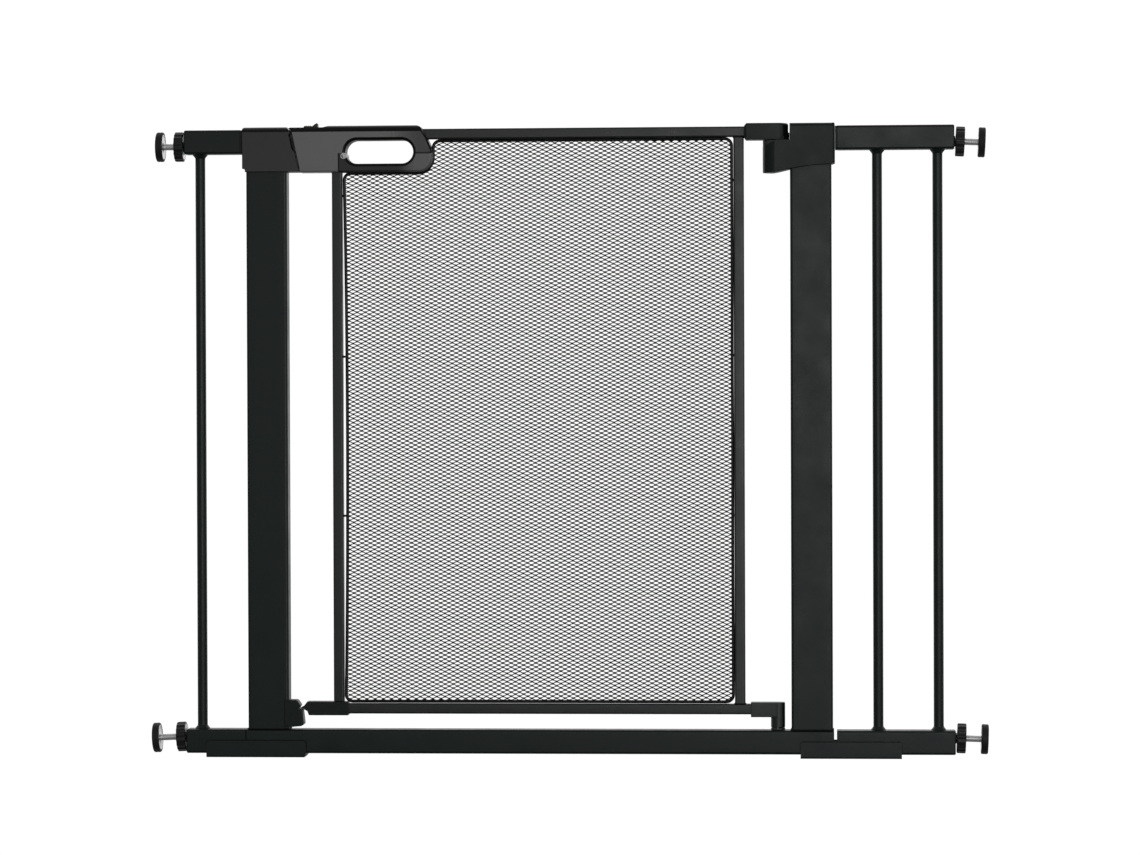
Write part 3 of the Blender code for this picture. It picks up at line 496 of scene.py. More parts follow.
def build_foot_plates():
    for side in ("left", "right"):
        node = f"{side}_foot_plate"
        low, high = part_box(node)
        outer, inner = high.y, high.y - PLATE_WALL
        floor_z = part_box("bottom_bar")[0].z - 0.0003
        channel = fillet([
            (-outer, 0, PLATE_BEND_R), (outer, 0, PLATE_BEND_R), (outer, high.z, PLATE_EDGE_R),
            (inner, high.z, PLATE_EDGE_R), (inner, floor_z, 0.0004), (-inner, floor_z, 0.0004),
            (-inner, high.z, PLATE_EDGE_R), (-outer, high.z, PLATE_EDGE_R)])
        plate = prism(node + "_channel", channel, low.x, high.x, FRAME_PAINT, axis="X")
        foot = 0.003 if side == "left" else 0.0
        boolean(plate, cutter(fillet([
            (low.x, -0.001), (high.x - foot, -0.001), (high.x, 0.003), (high.x, high.z, PLATE_CORNER_R),
            (low.x, high.z, PLATE_CORNER_R)], 6)), "INTERSECT")
        place(bevel(plate, PLATE_EDGE_R), node)
        # Painted shadow: a thin near-black sheet behind each side of the plate, a little larger than the plate,
        # stands in for the shadow in the gap round its edge.
        left, right, top = low.x - PLATE_EDGE_R, high.x + PLATE_EDGE_R, high.z + PLATE_EDGE_R
        painted_shade_rim = fillet([(left, floor_z + 0.004), (right, floor_z + 0.004), (right, top, PLATE_CORNER_R),
                        (left, top, PLATE_CORNER_R)], 6)
        for number, face in enumerate((-inner, inner)):
            start, end = sorted((face * 0.999, face - math.copysign(0.0002, face)))
            place(prism(f"{node}_liner_{number}", painted_shade_rim, start, end, PAINTED_SHADE_BLACK), body="frame",
                  finish=PLASTIC_SLOT)


JOINER_LIP_R, JOINER_REACH = 0.0030, 0.0010


def build_rail_joiners():
    for side in ("left", "right"):
        node = f"{side}_rail_joiner"
        low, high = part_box(node)
        rail_low, rail_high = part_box(f"{side}_extension_top_rail")
        if side == "left":
            start, end = rail_high.x - JOINER_REACH, high.x
        else:
            start, end = low.x, rail_low.x + JOINER_REACH
        half = [(rail_high[i] - rail_low[i]) / 2 - 0.0003 for i in (1, 2)]
        lip = rectangle(*half, JOINER_LIP_R, 6, (0.0, (rail_low.z + rail_high.z) / 2))
        place(soft_prism(f"{node}_lip", lip, start, end, RUBBER, even(0.0003), 0.0003, axis="X", steps=3,
                         dense=0.008), node)


# ---- latch housing, bracket and catches
SEAM_TOP, SEAM_SLOPE, SEAM_GAP = (-0.3332, 0.754), 10.0 / 47.0, 0.001
SEAM_END_Z = 0.755
LATCH_SPAN = (-0.45, -0.10)  # x range that takes in the latch housing and the handle


def seam_x(z):
    """Edge of the latch housing at a height; the handle starts SEAM_GAP further on."""
    return SEAM_TOP[0] + (SEAM_TOP[1] - z) * SEAM_SLOPE


def crowned(top, bottom, left, right):
    """Rounding that differs with the way a side faces."""
    def distance(u, v):
        up, down = max(v, 0.0) ** 2, max(-v, 0.0) ** 2
        aside = u * u * (right if u > 0 else left)
        return top * up + bottom * down + aside
    return distance


CREST_Z, CREST_RUN = 0.7537, 0.0085


def crest(obj, half, top):
    """Arch the top of a piece: above a crease along X at CREST_Z its two faces lean in towards top."""
    first, last = math.radians(28.0), math.radians(84.0)
    rise = (top - CREST_Z) / (math.sin(last) - math.sin(first))
    run = CREST_RUN / (math.cos(first) - math.cos(last))
    angles = [first + (last - first) * k / 10 for k in range(11)]
    arch = [(half - run * (math.cos(first) - math.cos(a)), CREST_Z + rise * (math.sin(a) - math.sin(first)))
            for a in angles]
    outline = [(-half, 0.68), (half, 0.68)] + arch + [(-y, z) for y, z in reversed(arch)]
    boolean(obj, cutter(outline, *LATCH_SPAN, axis="X"), "INTERSECT")


def cut_cover(obj, name, zone=None):
    """The arched top, or the zone given, split off as a near-black piece of its own, painted shade in place of the
    dark reflection on the rounded top; obj keeps the rest.
    """
    painted_shade_band = new_object(name, obj.data.copy())
    painted_shade_band.data.name = name
    zone = zone or (lambda: box((LATCH_SPAN[0], -0.05, CREST_Z), (LATCH_SPAN[1], 0.05, 0.80)))
    boolean(painted_shade_band, zone(), "INTERSECT")
    boolean(obj, zone())
    repaint(painted_shade_band, PAINTED_SHADE_BLACK)
    return painted_shade_band


def build_latch_housing():
    low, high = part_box("latch_housing")
    low.z -= 0.0012
    step_x, step_z, seam_end = low.x + 0.0033, low.z + 0.0038, seam_x(SEAM_END_Z)
    outline = fillet([
        (low.x, high.z, 0.003), (low.x, step_z, 0.001), (step_x, step_z, 0.001), (step_x, low.z, 0.0008),
        (seam_x(low.z), low.z, 0.0006), (seam_end, SEAM_END_Z, 0.0006), (seam_end - 0.005, high.z, 0.002)], 6)
    housing = soft_prism("latch_housing_shell", outline, low.y, high.y, HOUSING_PLASTIC,
                         crowned(0.0008, 0.0008, 0.0009, 0.0005), 0.0016)
    crest(housing, high.y + 0.0001, high.z)
    recess = fillet([
        (-0.3333, 0.7535), (-0.3360, 0.7503, 0.001), (-0.3345, 0.7466, 0.001), (-0.3321, 0.7340, 0.001),
        (-0.3306, 0.7315, 0.001), (-0.3262, 0.7255), (-0.320, 0.7255), (-0.320, 0.7535)], 4)
    for start, end in ((-0.02, 0.0018), (0.0105, 0.02)):
        boolean(housing, cutter(recess, start, end))
    # The housing's arched top is painted near black: painted shade.
    place(cut_cover(housing, "latch_housing_cover"), body="frame", finish=PLASTIC_SLOT)
    place(housing, "latch_housing")
    # Painted highlight: a small zinc sliver at the top of the seam stands in for the glint on the housing's chamfered
    # corner.
    glint_spot = [(seam_end - back, high.z - down, radius) for back, down, radius in (
        (0.0062, 0.0012, 0.0004), (0.0016, 0.0016, 0.0004), (0.0006, 0.0052, 0.0004),
        (0.0016, 0.0050, 0.0004), (0.0030, 0.0028, 0.0008))]
    place(soft_prism("latch_seam_painted_glint", fillet(glint_spot, 4), low.y + 0.0012, low.y + 0.0045, ZINC, even(0.0003),
                     0.0003), body="frame", finish=ZINC_SLOT)


def build_lower_catch():
    outline = fillet([
        (-0.3435, 0.0695, 0.002), (-0.3435, 0.0368), (-0.3333, 0.0368, 0.004), (-0.3228, 0.0378, 0.002),
        (-0.3200, 0.0402, 0.001), (-0.3200, 0.0426, 0.004), (-0.3216, 0.0566), (-0.3256, 0.0600),
        (-0.3238, 0.0630, 0.001), (-0.3282, 0.0695, 0.004)])
    place(soft_prism("lower_catch_shell", outline, -0.015, 0.004, BRACKET_PLASTIC, even(0.0013), 0.0016,
                     dense=0.0012), "lower_catch")


NOSE_R, NOSE_TOP_Z = 0.0164, 0.740
BRACKET_TOP_ROUND = 0.0048


def round_plan(obj, left, right, reach, low_z, high_z, distance, depth, arc, steps):
    """Keep of obj what is inside a plan with rounded corners and a rounded top edge.

    left and right are the (x, radius) of the plan's sides, reach is half its depth.
    """
    plan = fillet([(left[0], -reach, left[1]), (right[0], -reach, right[1]), (right[0], reach, right[1]),
                   (left[0], reach, left[1])], arc)
    boolean(obj, soft_prism("keep", plan, low_z, high_z, None, distance, depth, axis="Z", ends=(False, True),
                            steps=steps, dense=0.004), "INTERSECT")


def build_hinge_bracket():
    low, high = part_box("hinge_bracket")
    left = HINGE_X - NOSE_R
    outline = fillet([
        (left, low.z, 0.001), (0.2485, low.z, 0.03), (0.2675, 0.7054, 0.05), (0.2905, 0.7090, 0.06),
        (0.3175, 0.7110, 0.002), (high.x, 0.7122, 0.0012), (high.x, high.z + 0.001), (0.2670, high.z + 0.001),
        (0.2670, NOSE_TOP_Z), (HINGE_X + 0.0006, NOSE_TOP_Z), (left, 0.7315)], 8)
    bracket = soft_prism("hinge_bracket_shell", outline, low.y, high.y, BRACKET_PLASTIC,
                         crowned(0.0, 0.0008, 0.0004, 0.0008), 0.0010, steps=4, dense=0.004)
    reach = NOSE_R + 0.0001
    round_plan(bracket, (HINGE_X - reach, reach - 1e-4), (high.x + 0.0001, 0.004), reach, low.z - 0.01, high.z,
               lambda u, v: BRACKET_TOP_ROUND * v * v + 0.0010 * u * u, BRACKET_TOP_ROUND, 20, 8)
    boolean(bracket, bore(0.0083, 0.7253, 0.745, segments=64))
    place(bracket, "hinge_bracket")


PIN_BORE = 0.0041


def build_upper_bush():
    low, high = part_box("upper_hinge_bush")
    hub_r, wedge_r, ramp_z = 0.0080, NOSE_R - 0.0002, 0.7316
    profile = [(PIN_BORE, low.z), (hub_r, low.z), (hub_r, ramp_z), (wedge_r, ramp_z),
               (wedge_r, high.z - 0.0004), (wedge_r - 0.0004, high.z), (PIN_BORE, high.z)]
    bush = turned("upper_hinge_bush_ring", profile, HINGE, NYLON, segments=96)
    ramp = cutter([
        (HINGE_X - 0.03, 0.725), (HINGE_X + 0.03, 0.725), (HINGE_X + 0.03, 0.745),
        (HINGE_X + 0.0006, NOSE_TOP_Z + 0.0003), (HINGE_X - NOSE_R, 0.7318), (HINGE_X - 0.03, 0.7318)],
        -0.02, 0.02)
    boolean(ramp, bore(hub_r - 0.0001, 0.72, 0.75))
    boolean(bush, ramp)
    place(bush, "upper_hinge_bush")


# ---- door corner pieces
SEAM_POINT = Vector((0.2557, 0.7408))
SEAM_DIRECTION = Vector((0.0103, 0.0085)).normalized()


def beyond_seam(above, shift, reach):
    """Everything over or under the slanted joint between hinge block and cam, moved up by shift."""
    lift = Vector((-SEAM_DIRECTION.y, SEAM_DIRECTION.x)) * shift
    start, end = (SEAM_POINT + SEAM_DIRECTION * side + lift for side in (-reach, reach))
    rest = [tuple(end), (start.x, end.y)] if above else [(end.x, start.y), tuple(end)]
    return cutter([tuple(start), *rest])


def build_hinge_block():
    low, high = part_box("hinge_block")
    outline = fillet([
        (low.x, low.z + 0.002, 0.0011), (0.2142, low.z, 0.0011), (high.x + 0.001, low.z),
        (high.x + 0.001, high.z + 0.001), (0.2165, high.z + 0.001), (low.x, high.z - 0.0033, 0.0011)], 4)
    block = soft_prism("hinge_block_shell", outline, low.y, high.y, BRACKET_PLASTIC,
                       crowned(0.0, 0.0006, 0.0006, 0.0), 0.0008, steps=4, dense=0.003)
    reach = high.y + 0.0001
    round_plan(block, (low.x - 0.001, 0.0050), (HINGE_X + reach, reach - 1e-4), reach, low.z - 0.004, high.z,
               even(0.0024), 0.0024, 18, 6)
    boolean(block, beyond_seam(False, 0.0003, 0.02))
    place(block, "hinge_block")

    bottom, rim_r, skirt_top = NOSE_TOP_Z + 0.0003, 0.0156, 0.7490
    profile = [(PIN_BORE, bottom), (rim_r - 0.0005, bottom), (rim_r, bottom + 0.0005), (rim_r, skirt_top),
               (PIN_BORE, skirt_top)]
    cam = turned("hinge_cam_ring", profile, HINGE, BRACKET_PLASTIC, segments=96)
    above = beyond_seam(True, 0.0, 0.05)
    boolean(above, bore(0.0089, 0.73, 0.7428))
    boolean(cam, above)
    place(cam, "hinge_cam")


def build_elbow():
    low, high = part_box("hinge_elbow")
    radius, under = ELBOW_R, 0.0492
    profile = round_profile([(0, low.z), (radius, low.z, 0.0010), (radius, high.z, 0.0012), (0, high.z)], 5)
    elbow = turned("hinge_elbow_shell", profile, HINGE, ELBOW_PLASTIC)
    section = rectangle(radius - 0.0002, (high.z - under) / 2, 0.0010, 5, (0.0, (under + high.z) / 2))
    boolean(elbow, soft_prism("arm", section, low.x, HINGE_X, None, even(0.0008), 0.0008, axis="X",
                              ends=(True, False), steps=4), "UNION")
    place(elbow, "hinge_elbow")
    top = low.z - 0.0005
    bush = round_profile([(PIN_BORE, 0.0260), (0.0061, 0.0260), (0.0061, 0.0340), (0.0085, 0.0340, 0.0004),
                          (0.0085, top, 0.0006), (PIN_BORE, top)], 3)
    place(turned("lower_hinge_bush_ring", bush, HINGE, NYLON), "lower_hinge_bush")


def build_catch_cap():
    outline = fillet([(-0.3166, 0.0669, 0.001), (-0.3206, 0.0617), (-0.3234, 0.0606), (-0.3234, 0.0594),
                      (-0.3204, 0.0576), (-0.3166, 0.0554), (-0.3146, 0.0504, 0.0006), (-0.2669, 0.0504, 0.0006),
                      (-0.2669, 0.0669, 0.0006)], 4)
    place(soft_prism("bottom_catch_cap_shell", outline, -0.0085, 0.0085, BRACKET_PLASTIC, even(0.0007), 0.0009,
                     dense=0.0020), "bottom_catch_cap")


# ---- wire border and expanded mesh
WIRE_R = 0.0019
MESH_X = (-0.2689, 0.1957)
MESH_Z = (0.0671, 0.7424)
MESH_CORNER_R = 0.008
NOTCH_X, NOTCH_Z, NOTCH_R = -0.1618, 0.7038, 0.0189  # step of the border round the handle's lower corner
LEFT_BOW, LEFT_SET, RIGHT_SET = 0.0029, -0.0012, 0.0017
PITCH_X, PITCH_Z = 0.0100, 0.00251  # one opening across, one strand up
STRAND, STRAND_DEPTH = 0.00118, 0.0008
BOND = 0.0021  # length over which two strands are joined
RISE = math.radians(0.32)


def leg_shift(x, z):
    """The wire's two long legs aren't straight: the left bows away from its stile, the right leans on its stile."""
    share = min(max((z - MESH_Z[0]) / (NOTCH_Z - MESH_Z[0]), 0.0), 1.0)
    if x < MESH_X[0] + 0.012:
        return LEFT_SET + LEFT_BOW * math.sin(math.pi * share) ** 0.8
    near = min(max((x - MESH_X[1] + 0.03) / 0.03, 0.0), 1.0)
    return near * (RIGHT_SET + 0.00012 * math.sin(share * 17.0))


def border_path():
    """Centre line of the wire, in x and z."""
    (x0, x1), (z0, z1), corner = MESH_X, MESH_Z, MESH_CORNER_R
    outline = fillet([(x0, z0, corner), (x1, z0, corner), (x1, z1, corner), (NOTCH_X, z1, corner),
                      (NOTCH_X, NOTCH_Z, NOTCH_R), (x0, NOTCH_Z, corner)], 8)
    return [Vector((x + leg_shift(x, z), z)) for x, z in densify(outline, 0.006)]


def build_wire_border():
    path, sides = border_path(), 14
    sections = []
    for index, here in enumerate(path):
        back, ahead = (here - path[index - 1]).normalized(), (path[(index + 1) % len(path)] - here).normalized()
        across = (back + ahead).normalized().orthogonal() / math.cos(back.angle(ahead) / 2)
        ring = []
        for k in range(sides):
            angle = 2 * math.pi * (k + 0.5) / sides
            flat = here + across * WIRE_R * math.cos(angle)
            ring.append((flat.x, WIRE_R * math.sin(angle), flat.y))
        sections.append(ring)
    place(loft("wire_border_ring", sections, WELD_PAINT, closed=True), "wire_border")
    for side, leg, heights in (("left", 0, (0.6770, 0.4830, 0.2910)), ("right", 1, (0.6930, 0.4830, 0.2910))):
        stile_x, wire_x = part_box(f"door_{side}_stile")[1 - leg].x, MESH_X[leg]
        for number, z in enumerate(heights):
            start, end = sorted((stile_x, wire_x + leg_shift(wire_x, z)))
            profile = round_profile([(r, x, 0.0006) for r, x in (
                (0, start - 0.0003), (0.0021, start - 0.0003), (0.0015, start + 0.0005),
                (0.0012, (start + end) / 2), (0.0015, end - 0.0010), (0.0018, end), (0, end))], 3)
            place(turned(f"border_{side}_weld_{number}", profile, (0, 0, z), WELD_PAINT, axis="X", segments=16),
                  body="door", finish=PAINT_SLOT)


def row_ends(z):
    """Where a strand at height z starts and stops, on the wire's centre line."""
    x0, x1 = MESH_X
    z0, z1 = MESH_Z

    def corner(gap, radius):
        return radius - math.sqrt(max(radius ** 2 - (radius - gap) ** 2, 0.0)) if gap < radius else 0.0

    right = x1 - corner(min(z - z0, z1 - z), MESH_CORNER_R) + leg_shift(x1, z)
    if z < NOTCH_Z:
        left = x0 + corner(min(z - z0, NOTCH_Z - z), MESH_CORNER_R) + leg_shift(x0, z)
    else:
        above = z - NOTCH_Z
        left = NOTCH_X
        if above < NOTCH_R:
            left = NOTCH_X - NOTCH_R + math.sqrt(NOTCH_R ** 2 - (NOTCH_R - above) ** 2)
        left += corner(z1 - z, MESH_CORNER_R)
    return left, right


def strand_wave(x, row):
    """Flat at the bonds and straight between them, from -1 to 1."""
    phase = (x / PITCH_X + 0.5 * (row % 2)) % 1.0
    away = min(phase, 1.0 - phase) * PITCH_X  # distance from the middle of an upper bond
    slope_run = PITCH_X / 2 - BOND
    return 1.0 - 2.0 * min(max((away - BOND / 2) / slope_run, 0.0), 1.0)


def build_mesh_panel():
    """Expanded steel sheet: continuous zigzag strands, joined to their neighbours at every bond."""
    swing = (PITCH_Z - STRAND) / 2 + 0.00003
    slope = math.tan(RISE)
    middle = (MESH_X[0] + MESH_X[1]) / 2
    tilt = math.radians(16.0)
    section = [(y * math.cos(tilt) - z * math.sin(tilt), y * math.sin(tilt) + z * math.cos(tilt))
               for y, z in ((u * STRAND_DEPTH / 2, v * STRAND / 2) for u, v in ((-1, -1), (1, -1), (1, 1), (-1, 1)))]
    vertices, faces = [], []
    span = MESH_X[1] - MESH_X[0] + 0.02
    rows = int((MESH_Z[1] - MESH_Z[0]) / PITCH_Z) + 4
    first = MESH_Z[0] - 2 * PITCH_Z
    kinks = []
    for number in range(int(span / PITCH_X) * 2 + 4):
        bond_x = (MESH_X[0] - 0.01) // (PITCH_X / 2) * (PITCH_X / 2) + number * PITCH_X / 2
        kinks += [bond_x - BOND / 2, bond_x + BOND / 2]
    for row in range(rows):
        height = first + row * PITCH_Z

        def at(x):
            return height + (x - middle) * slope

        inside = [x for x in kinks if MESH_Z[0] < at(x) < MESH_Z[1] and row_ends(at(x))[0] < x < row_ends(at(x))[1]]
        if len(inside) < 3:
            continue
        start, end = row_ends(at(inside[0]))[0], row_ends(at(inside[-1]))[1]
        if inside[0] - start > 0.006:
            start = inside[0]
        if end - inside[-1] > 0.006:
            end = inside[-1]
        xs = [start] + [x for x in inside if start + 1e-4 < x < end - 1e-4] + [end]
        base = len(vertices)
        for x in xs:
            wave = strand_wave(x, row)
            for y, z in section:
                vertices.append((x, y + 0.00016 * wave, at(x) + swing * wave + z))
        for k in range(len(xs) - 1):
            for side in range(4):
                a, b = base + 4 * k + side, base + 4 * k + (side + 1) % 4
                faces.append((a, a + 4, b + 4, b))
        last = base + 4 * (len(xs) - 1)
        faces += [(base, base + 1, base + 2, base + 3), (last + 3, last + 2, last + 1, last)]
    mesh = bpy.data.meshes.new("mesh_panel_strands")
    mesh.from_pydata(vertices, [], faces)
    mesh.materials.append(MESH_PAINT)
    obj = new_object("mesh_panel_strands", mesh)
    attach(obj, "door")
    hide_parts("mesh_panel")


# ---- handle and thumb latch
HANDLE_CORNER_R = 0.0165
SLOT_CENTRE, SLOT_SIZE = (-0.2261, 0.7292), (0.0818, 0.028)
LINER = 0.0036  # width of the rounded rim round the finger slot
GRIP_LEFT, GRIP_TOP = -0.2753, 0.7275
PIN_XZ = (-0.2691, 0.7245)
GROOVE = 0.0011
LATCH_DIP = 0.0019  # the handle's top is this much lower under the thumb latch


def handle_outline(low, high):
    left_low, left_high = seam_x(low.z) + SEAM_GAP, seam_x(SEAM_END_Z) + SEAM_GAP
    low_top = high.z - LATCH_DIP
    return fillet([
        (left_low, low.z, 0.0006), (left_high, SEAM_END_Z, 0.0006), (left_high - 0.005, low_top, 0.0012),
        (-0.2945, low_top, 0.006), (-0.2885, high.z, 0.006), (-0.1770, high.z, 0.010),
        (-0.1690, 0.7467, 0.02), (high.x, 0.7310, 0.02), (high.x, low.z, HANDLE_CORNER_R)], 9)


def slot_outline(rim):
    """The finger slot's outline, widened by rim on every side."""
    width, height = (size + 2 * rim for size in SLOT_SIZE)
    return rectangle(width / 2, height / 2, height / 2 - 1e-5, 24, SLOT_CENTRE)


def handle_blank(name):
    """Handle and grip in one piece, before they are cut apart."""
    body_low, body_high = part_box("handle_body")
    grip_low, grip_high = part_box("handle_grip")
    low = Vector((body_low.x, body_low.y, min(body_low.z, grip_low.z) - 0.0012))
    high = Vector((max(body_high.x, grip_high.x) + 0.0022, body_high.y, body_high.z))
    blank = soft_prism(name, handle_outline(low, high), low.y, high.y, HANDLE_PLASTIC,
                       crowned(0.0010, 0.0022, 0.0006, 0.0026), 0.0040, steps=8)
    crest(blank, high.y + 0.0001, high.z)
    boolean(blank, cutter(slot_outline(LINER)))
    for face in (low.y, high.y):
        for axis, u, v, start, end in (("X", face, GRIP_TOP, SLOT_CENTRE[0], 0.0),
                                       ("Z", GRIP_LEFT, face, 0.69, GRIP_TOP)):
            groove = [(u - GROOVE, v), (u, v - GROOVE), (u + GROOVE, v), (u, v + GROOVE)]
            boolean(blank, cutter(groove, start, end, axis))
    return blank


def end_painted_shade_zone():
    """Band along the handle's outline at its far end, above the grip, which is painted near black as painted shade on
    the rounded end.
    """
    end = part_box("handle_body")[1].x
    outline = fillet([(-0.1760, CREST_Z), (-0.1709, 0.7457, 0.02), (end, 0.7301, 0.01), (end, GRIP_TOP - 0.001),
                      (end + 0.02, GRIP_TOP - 0.001), (end + 0.02, CREST_Z)], 8)
    return cutter(outline, -0.05, 0.05)


def build_handle():
    body = handle_blank("handle_body_shell")
    boolean(body, box((GRIP_LEFT - 0.0003, -0.03, 0.69), (-0.14, 0.03, GRIP_TOP + 0.0003)))
    stem = sum(corner.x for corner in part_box("thumb_slider")) / 2
    boolean(body, box((stem - 0.0045, -0.0036, 0.7500), (stem + 0.0125, 0.0036, 0.78)))
    # The handle's arched top and the band along its far end are painted near black: painted shade.
    for name, zone in (("handle_cover", None), ("handle_end_painted_shade", end_painted_shade_zone)):
        place(cut_cover(body, name, zone), body="door", finish=CHARCOAL_SLOT)
    place(body, "handle_body")
    grip = handle_blank("handle_grip_shell")
    boolean(grip, box((GRIP_LEFT, -0.03, 0.69), (-0.14, 0.03, GRIP_TOP)), "INTERSECT")
    repaint(grip, GRIP_PLASTIC)
    place(grip, "handle_grip")


def build_slot_liner():
    """Rounded black rim round the finger slot, a hair below the handle's faces: painted shade on the slot's rounded
    edge.
    """
    face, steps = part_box("handle_body")[1].y - 0.0003, 9
    angles = [math.pi / 2 * k / steps for k in range(steps + 1)]
    front = [(LINER * (1 - math.sin(a)), face - 0.0042 * (1 - math.cos(a))) for a in angles]
    ring = front + [(rim, -y) for rim, y in reversed(front)]
    ring += [(LINER - 0.0001, 0.0004 - face), (LINER - 0.0001, face - 0.0004)]
    sections = [[(u, y, v) for u, v in slot_outline(rim)] for rim, y in ring]
    place(loft("finger_slot_liner", sections, PAINTED_SHADE_BLACK, closed=True), body="door", finish=CHARCOAL_SLOT)


def build_grip_pin():
    low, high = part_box("grip_pin")
    radius, face = (high.x - low.x) / 2 + 0.0006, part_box("handle_body")[1].y
    profile = round_profile([
        (0, -face - 0.0004), (0.0012, -face - 0.0004, 0.0002), (0.0013, -face + 0.0001, 0.0002),
        (radius, -face - 0.0001, 0.0006), (radius, face + 0.0001, 0.0006), (0, face + 0.0001)])
    place(turned("grip_pin_stud", profile, (PIN_XZ[0], 0, PIN_XZ[1]), PIN_METAL, axis="Y", segments=40),
          "grip_pin")


RIDGE = 0.0022  # one rib of the thumb slider and the gap after it


def build_thumb_latch():
    low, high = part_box("thumb_slider")
    bolt_low, bolt_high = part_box("latch_bolt")
    x0, x1 = low.x, high.x
    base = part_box("handle_body")[1].z - LATCH_DIP + 0.0003
    steps = [(x0, 0.0), (x0, 0.0010)]
    for number in range(4):
        start = x0 + 0.0006 + number * RIDGE
        steps += [(start + RIDGE * share, rise) for share, rise in (
            (0.0, 0.0010), (0.22, 0.0019), (0.40, 0.0022), (0.58, 0.0019), (0.80, 0.0010))]
    steps += [(x0 + 0.0104, 0.0014), (x1 - 0.0028, 0.0040), (x1 - 0.0010, 0.0050), (x1 - 0.0004, 0.0046),
              (x1, 0.0)]
    slider = soft_prism("thumb_slider_pad", [(x, base + rise) for x, rise in steps], -0.0065, 0.0065,
                        SLIDER_PLASTIC, even(0.00025), 0.0004, steps=3, dense=0.004)
    stem = (x0 + x1) / 2
    boolean(slider, box((stem - 0.0030, -0.003, bolt_high.z + 0.0003), (stem + 0.0030, 0.003, base + 0.0005)),
            "UNION")
    place(slider, "thumb_slider")
    tip, end = 0.0014, bolt_high.x - 0.0072
    tongue = fillet([(seam_x(bolt_low.z) - tip, bolt_low.z, 0.0006), (end, bolt_low.z),
                     (end, bolt_high.z), (seam_x(bolt_high.z) - tip, bolt_high.z, 0.0006)], 4)
    place(soft_prism("latch_bolt_tongue", tongue, bolt_low.y, bolt_high.y, BRACKET_PLASTIC, even(0.0003), 0.0004,
                     steps=3), "latch_bolt")


# ---- spindles
ROD_R, THREAD_DEPTH, THREAD_PITCH = 0.0039, 0.00006, 0.00125
KNOB_R, KNOB_LOBES, FLUTE = 0.018, 16, 0.0009
KNOB_ROUND, WASHER_R = 0.0014, 0.0158
PAD_R, DISC_R = 0.018, 0.0149
RAIL_END_X = 0.462
DROOP = {"top_left": 0.0, "top_right": 2.6, "bottom_left": 2.4, "bottom_right": 2.0}  # degrees of sag
REACH = {"top_left": 0.0012, "top_right": 0.0, "bottom_left": 0.0028, "bottom_right": 0.0}  # how far a rod is out


def spindle_axis(corner):
    """Sign of the outward direction and height of the spindle's axis."""
    low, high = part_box(f"{corner}_threaded_rod")
    return (-1 if corner.endswith("left") else 1), (low.z + high.z) / 2


def extent(node):
    """Where a piece of a spindle starts and ends, as distances from the middle of the gate."""
    low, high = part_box(node)
    return sorted((abs(low.x), abs(high.x)))


def around(corner, distance, radii):
    """Ring of points round the spindle's axis, one for each radius."""
    outward, z = spindle_axis(corner)
    angles = [2 * math.pi * k / len(radii) for k in range(len(radii))]
    return [(outward * distance, r * math.cos(a), z + r * math.sin(a)) for r, a in zip(radii, angles)]


def spun(name, corner, profile, mat, segments=72, bm=None):
    """Body of revolution on the spindle's axis, from a (radius, distance from the middle) profile."""
    outward, z = spindle_axis(corner)
    return turned(name, [(r, outward * x) for r, x in profile], (0, 0, z), mat, "X", segments, bm)


def hang(obj, corner, *nodes, **riding):
    """Place a piece with the loose spindle's sag about the rail's end, and its reach, written into the mesh."""
    outward, z = spindle_axis(corner)
    if "knob" not in obj.name:
        obj.data.transform(Matrix.Translation((outward * REACH[corner], 0, 0)))
    pivot = Matrix.Translation((outward * RAIL_END_X, 0, z))
    obj.data.transform(pivot @ Matrix.Rotation(outward * math.radians(DROOP[corner]), 4, "Y") @ pivot.inverted())
    place(obj, *nodes, **riding)


def build_rod(corner):
    start, end = extent(f"{corner}_threaded_rod")
    points, per_pitch = 24, 8
    count = int((end - start) / THREAD_PITCH * per_pitch)
    sections = []
    for k in range(count + 1):
        x = start + (end - start) * k / count
        phases = [(x / THREAD_PITCH - step / points) % 1.0 for step in range(points)]
        sections.append(around(corner, x, [
            ROD_R - THREAD_DEPTH * max(0.0, 1.0 - abs(phase - 0.5) / 0.24) for phase in phases]))
    rod = smooth(loft(f"{corner}_rod_thread", sections, ROD_ZINC), 80.0)
    hang(rod, corner, f"{corner}_threaded_rod")


def build_knob(corner):
    inner, outer = extent(f"{corner}_knob")
    points = KNOB_LOBES * 10
    hole = ROD_R + (0.0011 if DROOP[corner] else 0.0003)
    quarter = [math.pi / 2 * k / 4 for k in range(5)]
    shape = [(hole, inner + 0.0002, 0.0), (0.0062, inner + 0.0002, 0.0), (KNOB_R - 0.0017, inner, 0.3)]
    for edge, inward, angles in ((inner, 1, quarter), (outer, -1, quarter[::-1])):
        shape += [(KNOB_R - KNOB_ROUND * (1 - math.sin(a)), edge + inward * KNOB_ROUND * (1 - math.cos(a)), 1.0)
                  for a in angles]
    shape += [(KNOB_R - 0.0024, outer, 0.3)] + [(radius, outer - dip, 0.0) for radius, dip in (
        (KNOB_R - 0.0050, 0.0003), (KNOB_R - 0.0058, 0.0012), (0.0082, 0.0012), (0.0074, 0.0004),
        (0.0060, 0.0002), (hole, 0.0002))]
    dips = [FLUTE * abs(math.cos(math.pi * KNOB_LOBES * k / points)) ** 1.6 for k in range(points)]
    sections = [around(corner, x, [radius - share * dip for dip in dips]) for radius, x, share in shape]
    knob = loft(f"{corner}_knob_wheel", sections, KNOB_PLASTIC, closed=True)
    hang(knob, corner, f"{corner}_knob")
    washer = round_profile([
        (hole, inner + 0.0004), (hole, inner - 0.0001), (0.0072, inner - 0.0001, 0.0002),
        (0.0080, inner + 0.0001, 0.0004), (WASHER_R - 0.0008, inner - 0.0001, 0.0003),
        (WASHER_R, inner + 0.0003, 0.0002), (WASHER_R, inner + 0.0006)], 3)
    hang(spun(f"{corner}_knob_washer", corner, washer, ZINC), corner, body=f"{corner}_knob", finish=ZINC_SLOT)


